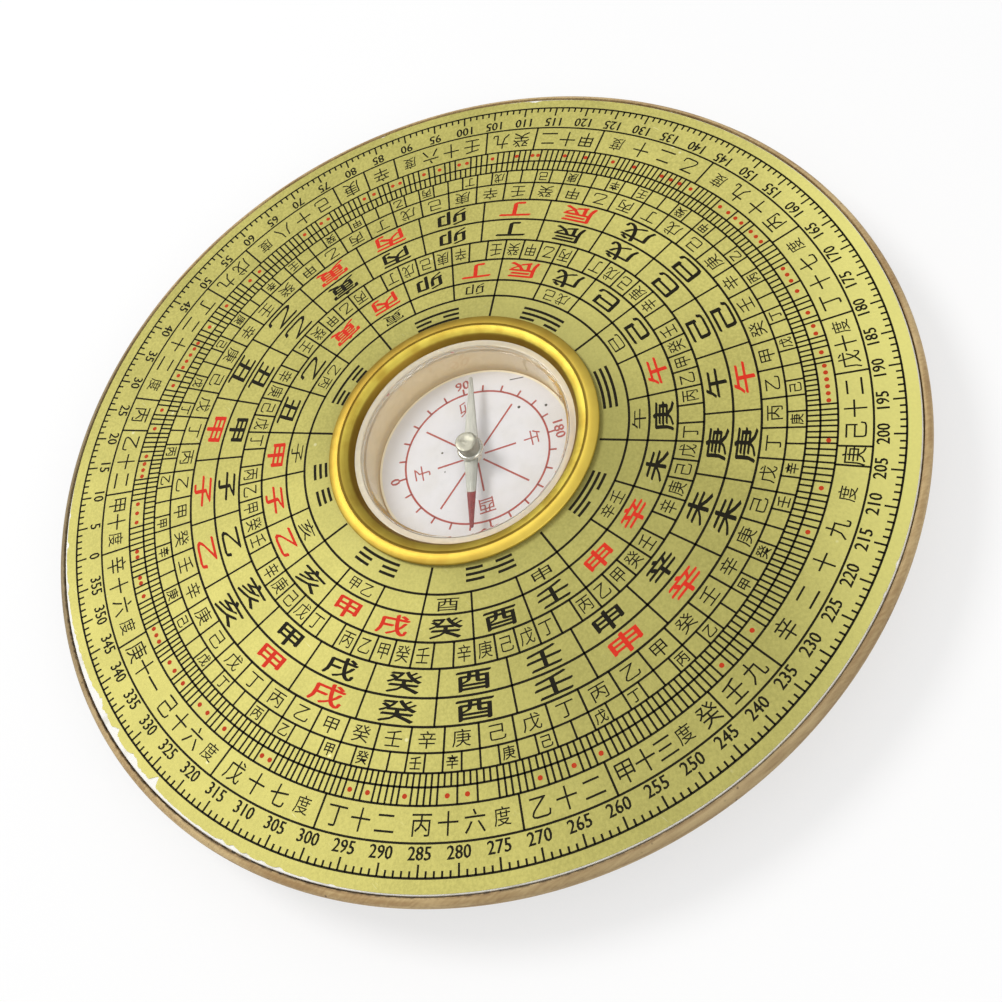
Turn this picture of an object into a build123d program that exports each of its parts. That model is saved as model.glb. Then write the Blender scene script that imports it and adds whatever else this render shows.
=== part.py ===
from build123d import *
import math
import os

os.makedirs("parts", exist_ok=True)

# A round compass dial (luopan). Millimetres, +Z up, the table at Z = 0 and the upright axis
# through the origin. Headings are degrees clockwise seen from above, and 0 is +Y.

# Wooden base, turned in one piece
base_radius = 60.0
nose_radius = 1.2
nose_chords = 2
foot_radius = 38.0
foot_chamfer = 0.4
well_floor = 2.6
underside_chords = 2
underside_turn_degrees = 12.0

# Printed dial: a board let into the base, with a metallised film on it
lip_width = 1.0
board_gap = 0.2
board_thickness = 1.0
board_edge_chamfer = 0.15
foil_setback = 0.15
foil_thickness = 0.1

# Ring round the well, which holds the capsule down with its inner lip
window_radius = 15.45
lip_overlap = 0.4
skirt_clearance = 0.05
skirt_wall = 0.5
well_clearance = 0.1
bezel_overlap = 2.3
undercut_width = 0.5
undercut_height = 0.4
bezel_edge_height = 0.7
bezel_crown_height = 1.02
bezel_inner_height = 0.6
inner_slope_width = 0.55
band_fall = 0.07
outer_fall_share = 0.8
inner_fall_share = 0.4
outer_band_chords = 3
inner_band_chords = 2
groove_half_width = 0.16
groove_depth = 0.18
groove_share = 0.54

# Clear capsule: a flanged cup and the window pressed into it
lid_recess = 0.3
lid_thickness = 1.1
lid_clearance = 0.05
lid_chamfer = 0.12
rim_land = 0.85
lid_seat = 0.55
flange_floor = 0.6
case_wall = 1.05
case_clearance = 0.1
case_floor = 1.0
interior_height = 5.0
notch_width = 0.5
notch_reach = 0.3
notch_depth = 0.4
notch_headings = (49.6, 93.5)

# Card on the floor of the cup
card_thickness = 0.3
card_clearance = 0.1
card_hole_clearance = 0.1

# Steel pin in its boss
boss_radius = 0.85
boss_height = 0.9
boss_chamfer = 0.2
pin_radius = 0.35
pin_cover = 0.4
point_length = 0.9
point_radius = 0.03
point_clearance = 0.05

# Needle: blade, bush riveted through it, cap on the bush and bearing in the bush
needle_heading = 279.8
hub_headroom = 0.25
cap_radius = 1.5
cap_height = 1.7
cap_roof = 0.2
cap_edge_chamfer = 0.12
cap_dimple_radius = 0.85
cap_dimple_depth = 0.06
bush_flange_radius = 1.85
bush_flange_height = 0.6
bush_slope_width = 0.3
bush_slope_height = 0.28
bush_spigot_radius = 1.1
bush_shank_radius = 0.95
rivet_radius = 1.2
rivet_height = 0.25
blade_end_gap = 2.3
blade_root_width = 1.85
blade_tip_width = 0.5
blade_thickness = 0.25
blade_eye_radius = 1.5
jewel_radius = 0.6
jewel_height = 0.9
jewel_roof = 0.3
jewel_mouth_radius = 0.42

# Reach of every cut past the face it starts from
overrun = 1.0

# Radii that follow from the sizes above
rebate_radius = base_radius - lip_width
board_radius = rebate_radius - board_gap
foil_radius = board_radius - foil_setback
flange_radius = window_radius + lip_overlap
skirt_inner_radius = flange_radius + skirt_clearance
skirt_radius = skirt_inner_radius + skirt_wall
well_radius = skirt_radius + well_clearance
bezel_radius = well_radius + bezel_overlap
rabbet_radius = window_radius - rim_land
lid_radius = rabbet_radius - lid_clearance
case_inner_radius = rabbet_radius - lid_seat
case_outer_radius = case_inner_radius + case_wall
bore_radius = case_outer_radius + case_clearance
card_radius = case_inner_radius - card_clearance
blade_half_length = case_inner_radius - blade_end_gap

# Heights above the table that follow from the sizes above
case_bottom = well_floor
case_floor_top = case_bottom + case_floor
seat_height = case_floor_top + interior_height
flange_bottom = seat_height - flange_floor
lid_top = seat_height + lid_thickness
face_height = lid_top + lid_recess
foil_bottom = face_height - foil_thickness
board_bottom = foil_bottom - board_thickness
cap_top = seat_height - hub_headroom
cap_bottom = cap_top - cap_height
jewel_top = cap_top - cap_roof
jewel_bottom = jewel_top - jewel_height
jewel_apex = jewel_top - jewel_roof
point_height = jewel_apex - point_clearance
blade_top = cap_bottom - bush_flange_height
blade_bottom = blade_top - blade_thickness
bush_bottom = blade_bottom - rivet_height
boss_top = case_floor_top + boss_height
pin_bottom = case_bottom + pin_cover


def heading_vector(heading):
    """Unit vector that points along a compass heading."""
    turn = math.radians(heading)
    return Vector(math.sin(turn), math.cos(turn), 0)


def at_share(share):
    """Radius at a share of the way from the ring's bore to its outer edge."""
    return window_radius + share * (bezel_radius - window_radius)


def chords_round(centre, start, end, count):
    """Corners of a run of equal chords round a centre, from one point of the circle to another."""
    spoke = start - centre
    sweep = math.atan2((end - centre).Y, (end - centre).X) - math.atan2(spoke.Y, spoke.X)
    turns = [math.degrees(sweep) * step / count for step in range(count + 1)]
    return [centre + spoke.rotate(Axis.Z, turn) for turn in turns]


def band(start, middle, end, count):
    """Corners of a rounded band: equal chords of the arc through three points."""
    arc = ThreePointArc(start, middle, end)
    return [arc @ (step / count) for step in range(count + 1)]


# Wooden base: a domed underside on a flat foot, a half-round edge, and the stepped well.
# The dome is part of a ball whose centre is on the upright axis.
nose_centre = Vector(base_radius - nose_radius, face_height - nose_radius)
nose_widest = Vector(base_radius, nose_centre.Y)
nose_top = Vector(nose_centre.X, face_height)
underside_angle = math.degrees(math.atan2(nose_centre.Y, nose_centre.X - foot_radius))
nose_start = math.radians(underside_angle + underside_turn_degrees)
nose_lower = nose_centre + nose_radius * Vector(math.sin(nose_start), -math.cos(nose_start))
foot_edge = Vector(foot_radius, foot_chamfer)
square_gap = nose_lower.dot(nose_lower) - foot_edge.dot(foot_edge)
ball_centre = Vector(0, square_gap / 2 / (nose_lower.Y - foot_edge.Y))
underside = chords_round(ball_centre, foot_edge, nose_lower, underside_chords)
nose_below = chords_round(nose_centre, nose_lower, nose_widest, nose_chords)
nose_above = chords_round(nose_centre, nose_widest, nose_top, nose_chords)

with BuildPart() as wood_base:
    with BuildSketch(Plane.XZ):
        with BuildLine():
            Polyline(
                (0, 0),
                (foot_radius - foot_chamfer, 0),
                *underside,
                *nose_below[1:],
                *nose_above[1:],
                (0, face_height),
                close=True,
            )
        make_face()
    revolve(axis=Axis.Z)
    with BuildSketch(Plane.XY.offset(board_bottom)):
        Circle(rebate_radius)
    extrude(amount=face_height - board_bottom + overrun, mode=Mode.SUBTRACT)
    with BuildSketch(Plane.XY.offset(flange_bottom)):
        Circle(well_radius)
    extrude(amount=face_height - flange_bottom, mode=Mode.SUBTRACT)
    with BuildSketch(Plane.XY.offset(case_bottom)):
        Circle(bore_radius)
    extrude(amount=face_height - case_bottom, mode=Mode.SUBTRACT)

# Dial board: a flat annulus with an eased edge, on the floor of the rebate
with BuildPart() as dial_board:
    with BuildSketch(Plane.XY.offset(board_bottom)):
        Circle(board_radius)
        Circle(well_radius, mode=Mode.SUBTRACT)
    extrude(amount=board_thickness)
    board_rim = dial_board.edges().filter_by(GeomType.CIRCLE).group_by(Axis.Z)[-1].sort_by(SortBy.RADIUS)[-1]
    chamfer(board_rim, length=board_edge_chamfer)

# Dial film, set back from the board's edge so that a white line of board shows
with BuildPart() as dial_foil:
    with BuildSketch(Plane.XY.offset(foil_bottom)):
        Circle(foil_radius)
        Circle(well_radius, mode=Mode.SUBTRACT)
    extrude(amount=foil_thickness)

# Bezel: two rounded bands that fall away from a groove on the crown, an overhanging outer edge,
# a sloping wall down to the window, and a skirt round the cup's flange
groove_radius = at_share(groove_share)
crown = face_height + bezel_crown_height
outer_edge = Vector(bezel_radius, face_height + bezel_edge_height)
outer_middle = Vector(at_share(outer_fall_share), crown - band_fall)
outer_shoulder = Vector(groove_radius + groove_half_width, crown)
inner_shoulder = Vector(groove_radius - groove_half_width, crown)
inner_middle = Vector(at_share(inner_fall_share), crown - band_fall)
inner_edge = Vector(window_radius + inner_slope_width, face_height + bezel_inner_height)
outer_band = band(outer_edge, outer_middle, outer_shoulder, outer_band_chords)
inner_band = band(inner_shoulder, inner_middle, inner_edge, inner_band_chords)

with BuildPart() as bezel_ring:
    with BuildSketch(Plane.XZ):
        with BuildLine():
            Polyline(
                (window_radius, lid_top),
                (skirt_inner_radius, lid_top),
                (skirt_inner_radius, flange_bottom),
                (skirt_radius, flange_bottom),
                (skirt_radius, face_height),
                (bezel_radius - undercut_width, face_height),
                (bezel_radius, face_height + undercut_height),
                *outer_band,
                (groove_radius, crown - groove_depth),
                *inner_band,
                close=True,
            )
        make_face()
    revolve(axis=Axis.Z)

# Cup of the capsule: flange, rabbet for the window, thin wall, floor and the pin's boss
with BuildPart() as capsule_case:
    with BuildSketch(Plane.XZ):
        with BuildLine():
            Polyline(
                (0, case_bottom),
                (case_outer_radius, case_bottom),
                (case_outer_radius, flange_bottom),
                (flange_radius, flange_bottom),
                (flange_radius, lid_top),
                (rabbet_radius, lid_top),
                (rabbet_radius, seat_height),
                (case_inner_radius, seat_height),
                (case_inner_radius, case_floor_top),
                (boss_radius, case_floor_top),
                (boss_radius, boss_top),
                (0, boss_top),
                close=True,
            )
        make_face()
    revolve(axis=Axis.Z)
    boss_edge = capsule_case.edges().filter_by(GeomType.CIRCLE).filter_by_position(Axis.Z, boss_top, boss_top)
    chamfer(boss_edge, length=boss_chamfer)
    with BuildSketch(Plane.XY.offset(pin_bottom)):
        Circle(pin_radius)
    extrude(amount=boss_top - pin_bottom + overrun, mode=Mode.SUBTRACT)

# Window: a clear disc with eased edges and two small moulding notches in its rim
with BuildPart() as capsule_lid:
    with BuildSketch(Plane.XY.offset(seat_height)):
        Circle(lid_radius)
    extrude(amount=lid_thickness)
    chamfer(capsule_lid.edges().filter_by(GeomType.CIRCLE).group_by(Axis.Z)[-1], length=lid_chamfer)
    for notch_heading in notch_headings:
        notch_plane = Plane(
            origin=heading_vector(notch_heading) * lid_radius + Vector(0, 0, lid_top - notch_depth),
            x_dir=heading_vector(notch_heading),
            z_dir=(0, 0, 1),
        )
        with BuildSketch(notch_plane):
            Rectangle(2 * notch_reach, notch_width)
        extrude(amount=notch_depth + overrun, mode=Mode.SUBTRACT)

# Compass card with a hole that clears the boss
with BuildPart() as compass_card:
    with BuildSketch(Plane.XY.offset(case_floor_top)):
        Circle(card_radius)
        Circle(boss_radius + card_hole_clearance, mode=Mode.SUBTRACT)
    extrude(amount=card_thickness)

# Pin: a steel wire ground to a long point
with BuildPart() as pivot_pin:
    with BuildSketch(Plane.XZ):
        with BuildLine():
            Polyline(
                (0, pin_bottom),
                (pin_radius, pin_bottom),
                (pin_radius, point_height - point_length),
                (point_radius, point_height),
                (0, point_height),
                close=True,
            )
        make_face()
    revolve(axis=Axis.Z)

# Needle blade: tapers both ways from the eye round the bush to two rounded ends
tip_centre = blade_half_length - blade_tip_width / 2
blade_plane = Plane(
    origin=(0, 0, blade_bottom),
    x_dir=heading_vector(needle_heading),
    z_dir=(0, 0, 1),
)

with BuildPart() as needle_blade:
    with BuildSketch(blade_plane):
        with BuildLine():
            Polyline(
                (tip_centre, blade_tip_width / 2),
                (0, blade_root_width / 2),
                (-tip_centre, blade_tip_width / 2),
                (-tip_centre, -blade_tip_width / 2),
                (0, -blade_root_width / 2),
                (tip_centre, -blade_tip_width / 2),
                close=True,
            )
        make_face()
        with Locations((tip_centre, 0), (-tip_centre, 0)):
            Circle(blade_tip_width / 2)
        Circle(blade_eye_radius)
        Circle(bush_shank_radius, mode=Mode.SUBTRACT)
    extrude(amount=blade_thickness)

# Bush: domed flange on the blade, shank riveted over below it, spigot for the cap above it
with BuildPart() as needle_bush:
    with BuildSketch(Plane.XY.offset(bush_bottom)):
        Circle(rivet_radius)
    extrude(amount=rivet_height)
    with BuildSketch(Plane.XY.offset(blade_bottom)):
        Circle(bush_shank_radius)
    extrude(amount=blade_thickness)
    with BuildSketch(Plane.XY.offset(blade_top)):
        Circle(bush_flange_radius)
    extrude(amount=bush_flange_height)
    flange_edge = needle_bush.edges().filter_by(GeomType.CIRCLE).group_by(Axis.Z)[-1]
    chamfer(flange_edge, length=bush_slope_height, length2=bush_slope_width)
    with BuildSketch(Plane.XY.offset(cap_bottom)):
        Circle(bush_spigot_radius)
    extrude(amount=jewel_top - cap_bottom)
    with BuildSketch(Plane.XY.offset(bush_bottom)):
        Circle(jewel_radius)
    extrude(amount=jewel_top - bush_bottom, mode=Mode.SUBTRACT)

# Cap: a small closed cup over the spigot, its roof dished in the middle
with BuildPart() as needle_cap:
    with BuildSketch(Plane.XY.offset(cap_bottom)):
        Circle(cap_radius)
    extrude(amount=cap_height)
    chamfer(needle_cap.edges().filter_by(GeomType.CIRCLE).group_by(Axis.Z)[-1], length=cap_edge_chamfer)
    with BuildSketch(Plane.XY.offset(cap_bottom)):
        Circle(bush_spigot_radius)
    extrude(amount=cap_height - cap_roof, mode=Mode.SUBTRACT)
    with BuildSketch(Plane.XY.offset(cap_top - cap_dimple_depth)):
        Circle(cap_dimple_radius)
    extrude(amount=cap_dimple_depth + overrun, mode=Mode.SUBTRACT)

# Bearing: a hard cylinder with a conical cup that runs on the point
with BuildPart() as bearing_jewel:
    with BuildSketch(Plane.XZ):
        with BuildLine():
            Polyline(
                (0, jewel_apex),
                (jewel_mouth_radius, jewel_bottom),
                (jewel_radius, jewel_bottom),
                (jewel_radius, jewel_top),
                (0, jewel_top),
                close=True,
            )
        make_face()
    revolve(axis=Axis.Z)

pieces = {
    "wood_base": wood_base,
    "dial_board": dial_board,
    "dial_foil": dial_foil,
    "bezel_ring": bezel_ring,
    "capsule_case": capsule_case,
    "capsule_lid": capsule_lid,
    "compass_card": compass_card,
    "pivot_pin": pivot_pin,
    "needle_blade": needle_blade,
    "needle_bush": needle_bush,
    "needle_cap": needle_cap,
    "bearing_jewel": bearing_jewel,
}

for piece_name, piece in pieces.items():
    piece.part.label = piece_name
    export_step(piece.part, "parts/" + piece_name + ".step")
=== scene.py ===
"""A round compass dial of the luopan kind, dressed for rendering.

A turned wooden disc carries a printed gold dial. In its middle a clear capsule with a magnetic
needle sits inside a gold ring. Lengths are millimetres until a mesh is finished. Headings are
degrees clockwise from the dial's 0 mark, seen from above, and 0 is +Y.
"""

from __future__ import annotations

import cmath
import functools
import logging
import math
from collections.abc import Iterable
from dataclasses import dataclass
from enum import Enum

import bmesh
import bpy
from mathutils import Euler, Matrix, Vector, noise

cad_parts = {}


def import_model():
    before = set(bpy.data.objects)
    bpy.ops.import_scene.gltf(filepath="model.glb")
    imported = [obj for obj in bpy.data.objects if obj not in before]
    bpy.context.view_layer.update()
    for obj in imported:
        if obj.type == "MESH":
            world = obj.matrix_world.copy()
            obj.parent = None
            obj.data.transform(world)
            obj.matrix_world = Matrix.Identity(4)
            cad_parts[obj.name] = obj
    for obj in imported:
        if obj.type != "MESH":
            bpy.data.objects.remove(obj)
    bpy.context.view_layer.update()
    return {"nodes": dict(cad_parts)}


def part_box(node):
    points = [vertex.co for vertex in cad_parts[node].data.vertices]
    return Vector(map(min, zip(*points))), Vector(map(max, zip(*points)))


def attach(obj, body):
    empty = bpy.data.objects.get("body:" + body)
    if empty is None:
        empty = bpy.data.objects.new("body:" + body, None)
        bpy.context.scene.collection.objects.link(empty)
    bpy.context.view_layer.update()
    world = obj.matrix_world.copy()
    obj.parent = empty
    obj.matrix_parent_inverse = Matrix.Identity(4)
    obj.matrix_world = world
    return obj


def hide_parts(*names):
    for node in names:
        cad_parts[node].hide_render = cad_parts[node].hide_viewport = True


METRE = 1000.0
MERGE = 1e-4
FULL_TURN = 2 * math.pi
WELL_RADIUS = 16.5
CARD_CLEARANCE = 0.1
CUP_WALL = 1.05
FLANGE_FLOOR = 0.6
NEEDLE_HEADING = 279.8
log = logging.getLogger("compass")

Colour = tuple[float, float, float, float]
Size = tuple[float, float]
Socket = bpy.types.NodeSocket
WHITE: Colour = (1.0, 1.0, 1.0, 1.0)


def tint(red: int, green: int, blue: int) -> Colour:
    """Turn a colour as the eye reads it, 0 to 255, into the linear values that shaders use.

    Args:
        red, green, blue: display values from 0 to 255.

    Returns:
        Linear red, green and blue with an alpha of 1.
    """

    def linear(value: int) -> float:
        """Undo the display curve of one channel."""
        share = value / 255
        return share / 12.92 if share <= 0.04045 else ((share + 0.055) / 1.055) ** 2.4

    return linear(red), linear(green), linear(blue), 1.0


class Signal:
    """A number carried by a shader socket, with the arithmetic that shader maths needs."""

    def __init__(self, paint: Paint, socket: Socket) -> None:
        """Wrap one socket of a paint's tree."""
        self.paint = paint
        self.socket = socket

    def __add__(self, other: Signal | float) -> Signal:
        """Sum of two numbers."""
        return self.paint.math("ADD", self, other)

    def __sub__(self, other: Signal | float) -> Signal:
        """Difference of two numbers."""
        return self.paint.math("SUBTRACT", self, other)

    def __rsub__(self, other: float) -> Signal:
        """A plain number less this one."""
        return self.paint.math("SUBTRACT", other, self)

    def __mul__(self, other: Signal | float) -> Signal:
        """Product of two numbers."""
        return self.paint.math("MULTIPLY", self, other)

    def __truediv__(self, other: Signal | float) -> Signal:
        """Quotient of two numbers."""
        return self.paint.math("DIVIDE", self, other)

    def __rtruediv__(self, other: float) -> Signal:
        """A plain number divided by this one."""
        return self.paint.math("DIVIDE", other, self)

    def __gt__(self, other: Signal | float) -> Signal:
        """1 where this number is the larger, else 0."""
        return self.paint.math("GREATER_THAN", self, other)

    def __lt__(self, other: Signal | float) -> Signal:
        """1 where this number is the smaller, else 0."""
        return self.paint.math("LESS_THAN", self, other)

    __radd__ = __add__
    __rmul__ = __mul__

    def either(self, other: Signal) -> Signal:
        """The larger of two masks."""
        return self.paint.math("MAXIMUM", self, other)

    def rise(self, start: float, end: float) -> Signal:
        """Rise smoothly from 0 to 1 as this number goes from start to end.

        Args:
            start: where the result is still 0.
            end: where the result has reached 1.

        Returns:
            The eased share, held between 0 and 1.
        """
        span = {"Value": self, "From Min": start, "From Max": end}
        ease = self.paint.node("ShaderNodeMapRange", {"interpolation_type": "SMOOTHSTEP"}, span)
        return Signal(self.paint, ease.outputs["Result"])


Value = Signal | Socket | float | tuple | Vector


class Paint:
    """The node tree of one material or world, with its coordinates in millimetres."""

    def __init__(self, owner: bpy.types.Material | bpy.types.World, output: str) -> None:
        """Empty an owner's tree and give it an output node.

        Args:
            owner: the material or world.
            output: the type of its output node.
        """
        owner.use_nodes = True
        self.tree = owner.node_tree
        self.tree.nodes.clear()
        self.output = self.node(output)

    def node(self, kind: str, settings: dict | None = None, sockets: dict | None = None) -> bpy.types.Node:
        """Add a node, with its settings first and then its sockets.

        Args:
            kind: the node's type.
            settings: attributes by name.
            sockets: values or links by the input's name or number.

        Returns:
            The node.
        """
        made = self.tree.nodes.new(kind)
        for name, value in (settings or {}).items():
            setattr(made, name, value)
        for name, value in (sockets or {}).items():
            self.feed(made.inputs[name], value)
        return made

    def feed(self, socket: Socket, value: Value) -> None:
        """Link a socket, or set its own value.

        Args:
            socket: an input socket.
            value: what to link to it, or a plain number, colour or vector.
        """
        source = value.socket if isinstance(value, Signal) else value
        if isinstance(source, Socket):
            self.tree.links.new(source, socket)
        else:
            socket.default_value = source

    def math(self, operation: str, first: Signal | float, second: Signal | float = 0.0) -> Signal:
        """Add a Math node.

        Args:
            operation: the node's operation.
            first, second: its inputs.

        Returns:
            Its result.
        """
        made = self.node("ShaderNodeMath", {"operation": operation}, {0: first, 1: second})
        return Signal(self, made.outputs[0])

    @functools.cached_property
    def place(self) -> Socket:
        """Object coordinates in millimetres.

        Returns:
            A vector socket.
        """
        metres = self.node("ShaderNodeTexCoord").outputs["Object"]
        scaled = self.node("ShaderNodeVectorMath", {"operation": "SCALE"}, {0: metres, "Scale": METRE})
        return scaled.outputs["Vector"]

    @functools.cached_property
    def axes(self) -> tuple[Signal, Signal, Signal]:
        """The three coordinates in millimetres, each as a number."""
        parts = self.node("ShaderNodeSeparateXYZ", {}, {"Vector": self.place}).outputs
        return Signal(self, parts[0]), Signal(self, parts[1]), Signal(self, parts[2])

    @functools.cached_property
    def radius(self) -> Signal:
        """Distance from the upright axis in millimetres."""
        east, north, _ = self.axes
        return self.math("SQRT", east * east + north * north)

    def along(self, heading: float) -> Signal:
        """Distance from the axis towards a heading, in millimetres.

        Args:
            heading: the heading in degrees.

        Returns:
            The distance, which is below 0 on the other side.
        """
        east, north, _ = self.axes
        turn = math.radians(heading)
        return east * math.sin(turn) + north * math.cos(turn)

    def polar(self, around: float, across: float, upward: float) -> Socket:
        """Coordinates that run round the axis, for grain and streaks that follow the turning.

        Args:
            around: scale of the turn round the axis.
            across: scale of the radius.
            upward: scale of the height.

        Returns:
            A vector socket without a seam.
        """
        east, north, height = self.axes
        spread = {0: east / self.radius * around, 1: north / self.radius * around}
        spread[2] = self.radius * across + height * upward
        return self.node("ShaderNodeCombineXYZ", {}, spread).outputs[0]

    def stretch(self, scale: tuple[float, float, float], turn: float = 0.0) -> Socket:
        """The place, stretched and turned about the upright axis.

        Args:
            scale: factor on each axis after the turn.
            turn: degrees about +Z.

        Returns:
            A vector socket.
        """
        sockets = {"Vector": self.place, "Scale": scale, "Rotation": (0.0, 0.0, math.radians(turn))}
        return self.node("ShaderNodeMapping", {"vector_type": "TEXTURE"}, sockets).outputs[0]

    def noise(self, size: float, detail: float = 2.0, vector: Socket | None = None) -> Signal:
        """Soft noise between 0 and 1.

        Args:
            size: size of its patches, in millimetres unless a vector is given.
            detail: how many finer layers it has.
            vector: other coordinates to read.

        Returns:
            The noise as a number.
        """
        sockets = {"Vector": vector or self.place, "Scale": 1 / size, "Detail": detail}
        return Signal(self, self.node("ShaderNodeTexNoise", {}, sockets).outputs["Fac"])

    def specks(self, size: float) -> Signal:
        """Distance to the nearest of many scattered points, as a share of their spacing."""
        sockets = {"Vector": self.place, "Scale": 1 / size}
        return Signal(self, self.node("ShaderNodeTexVoronoi", {}, sockets).outputs["Distance"])

    def blend(self, factor: Value, first: Value, second: Value) -> Socket:
        """Mix two colours.

        Args:
            factor: 0 for the first colour, 1 for the second.
            first, second: colours or colour sockets.

        Returns:
            The mixed colour's socket.
        """
        mixed = self.node("ShaderNodeMix", {"data_type": "RGBA"}, {0: factor, 6: first, 7: second})
        return mixed.outputs[2]

    def coats(self, ground: Value, *coats: tuple[Value, Value]) -> Value:
        """Lay coats of colour over a ground.

        Args:
            ground: the colour underneath.
            coats: the share and the colour of each coat, the lowest first.

        Returns:
            The colour that shows.
        """
        for share, colour in coats:
            ground = self.blend(share, ground, colour)
        return ground

    def bump(self, height: Signal, strength: float, distance: float) -> Socket:
        """Raise the surface by a height.

        Args:
            height: the height as a share.
            strength: how much of the effect to use.
            distance: the height of 1, in millimetres.

        Returns:
            The normal's socket.
        """
        sockets = {"Height": height, "Strength": strength, "Distance": distance / METRE}
        return self.node("ShaderNodeBump", {}, sockets).outputs["Normal"]

    def shader(self, kind: str, **sockets: Value) -> Socket:
        """Add a shader node, with underscores for the spaces in its sockets' names."""
        named = {name.replace("_", " "): value for name, value in sockets.items()}
        return self.node(kind, {}, named).outputs[0]

    def surface(self, **sockets: Value) -> None:
        """Show a Principled shader, with underscores for the spaces in its sockets' names."""
        self.show(self.shader("ShaderNodeBsdfPrincipled", **sockets))

    def mixed(self, factor: Signal, first: Socket, second: Socket) -> Socket:
        """Mix two shaders by a factor."""
        return self.node("ShaderNodeMixShader", {}, {0: factor, 1: first, 2: second}).outputs[0]

    def show(self, shader: Socket) -> None:
        """Send a shader to the output."""
        self.feed(self.output.inputs["Surface"], shader)

    def rays(self, *names: str) -> Signal:
        """1 for rays of any of the named kinds, else 0.

        Args:
            names: outputs of the Light Path node.

        Returns:
            The mask.
        """
        outputs = self.node("ShaderNodeLightPath").outputs
        kinds = [Signal(self, outputs[name]) for name in names]
        return functools.reduce(Signal.either, kinds)


class Finish:
    """A finish that paints one material."""

    def apply(self, paint: Paint) -> None:
        """Build the finish in a paint's tree."""
        raise NotImplementedError


@functools.cache
def material_of(finish: Finish) -> bpy.types.Material:
    """Paint a finish once and hand out the same material afterwards.

    Args:
        finish: the finish.

    Returns:
        Its material.
    """
    material = bpy.data.materials.new(type(finish).__name__)
    finish.apply(Paint(material, "ShaderNodeOutputMaterial"))
    return material


@dataclass(frozen=True)
class TurnedWood(Finish):
    """Turned wood: a brown rim with fine streaks, dark edges and painted shade towards two headings, raw
    wood in the well.
    """

    pale: Colour = tint(206, 180, 130)
    deep: Colour = tint(160, 128, 84)
    soiled: Colour = tint(60, 44, 28)
    # Painted shade: the colour of the rim's shaded sides.
    grime_and_shade: Colour = tint(92, 84, 62)
    raw: Colour = tint(255, 212, 88)
    well_radius: float = 17.0
    rim_radius: float = 58.95
    edge_width: float = 0.3
    worn_heading: float = 310.0
    # Headings towards which painted shade darkens the rim.
    shaded_headings: tuple[float, float] = (12.0, 250.0)

    def apply(self, paint: Paint) -> None:
        """Streaks follow the turning, grime gathers at the rim's inner edge, and painted shade darkens the
        rim towards two headings.

        Args:
            paint: the nodes of the finish's material.
        """
        streaks = paint.noise(1.0, 5.0, paint.polar(5.0, 2.6, 2.6))
        grain = paint.noise(1.0, 4.0, paint.stretch((0.25, 6.0, 0.5), 20.0))
        # Painted shade on the rim towards the two shaded headings.
        far_shade, near_shade = (paint.along(heading).rise(44.0, 60.0) for heading in self.shaded_headings)
        pits = paint.specks(1.1).rise(0.2, 0.06) * paint.noise(5.0).rise(0.5, 0.6)
        worn_side = paint.along(self.worn_heading).rise(20.0, 50.0) * 0.7 + 0.3
        inner_edge = paint.radius.rise(self.rim_radius + self.edge_width, self.rim_radius)
        worn_edge = inner_edge * paint.noise(0.7, 4.0).rise(0.35, 0.6) * worn_side
        colour = paint.coats(
            self.deep,
            ((streaks * 0.7 + grain * 0.3).rise(0.34, 0.66), self.pale),
            (paint.noise(5.0, 3.0).rise(0.5, 0.72) * 0.35, self.deep),
            (far_shade * 0.6 + near_shade * 0.3, self.grime_and_shade),
            (worn_edge.either(pits) * 0.85, self.soiled),
            (paint.radius < self.well_radius, self.raw),
        )
        paint.surface(
            Base_Color=colour,
            Roughness=0.5 + grain * 0.2,
            Normal=paint.bump(streaks * 0.6 - pits, 0.5, 0.06),
            Specular_IOR_Level=0.4,
        )


@dataclass(frozen=True)
class WhiteBoard(Finish):
    """Matt white board, a little grey where its cut edge shows grime from handling."""

    clean: Colour = tint(243, 241, 234)
    # The colour of the grime.
    grime_and_shade: Colour = tint(206, 200, 186)

    def apply(self, paint: Paint) -> None:
        """Fibres and faint grime.

        Args:
            paint: the nodes of the finish's material.
        """
        fibres = paint.noise(0.25, 4.0)
        grime = paint.noise(2.5, 3.0).rise(0.5, 0.75)
        paint.surface(
            Base_Color=paint.blend(grime * 0.6, self.clean, self.grime_and_shade),
            Roughness=0.85,
            Normal=paint.bump(fibres, 0.4, 0.03),
        )


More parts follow.
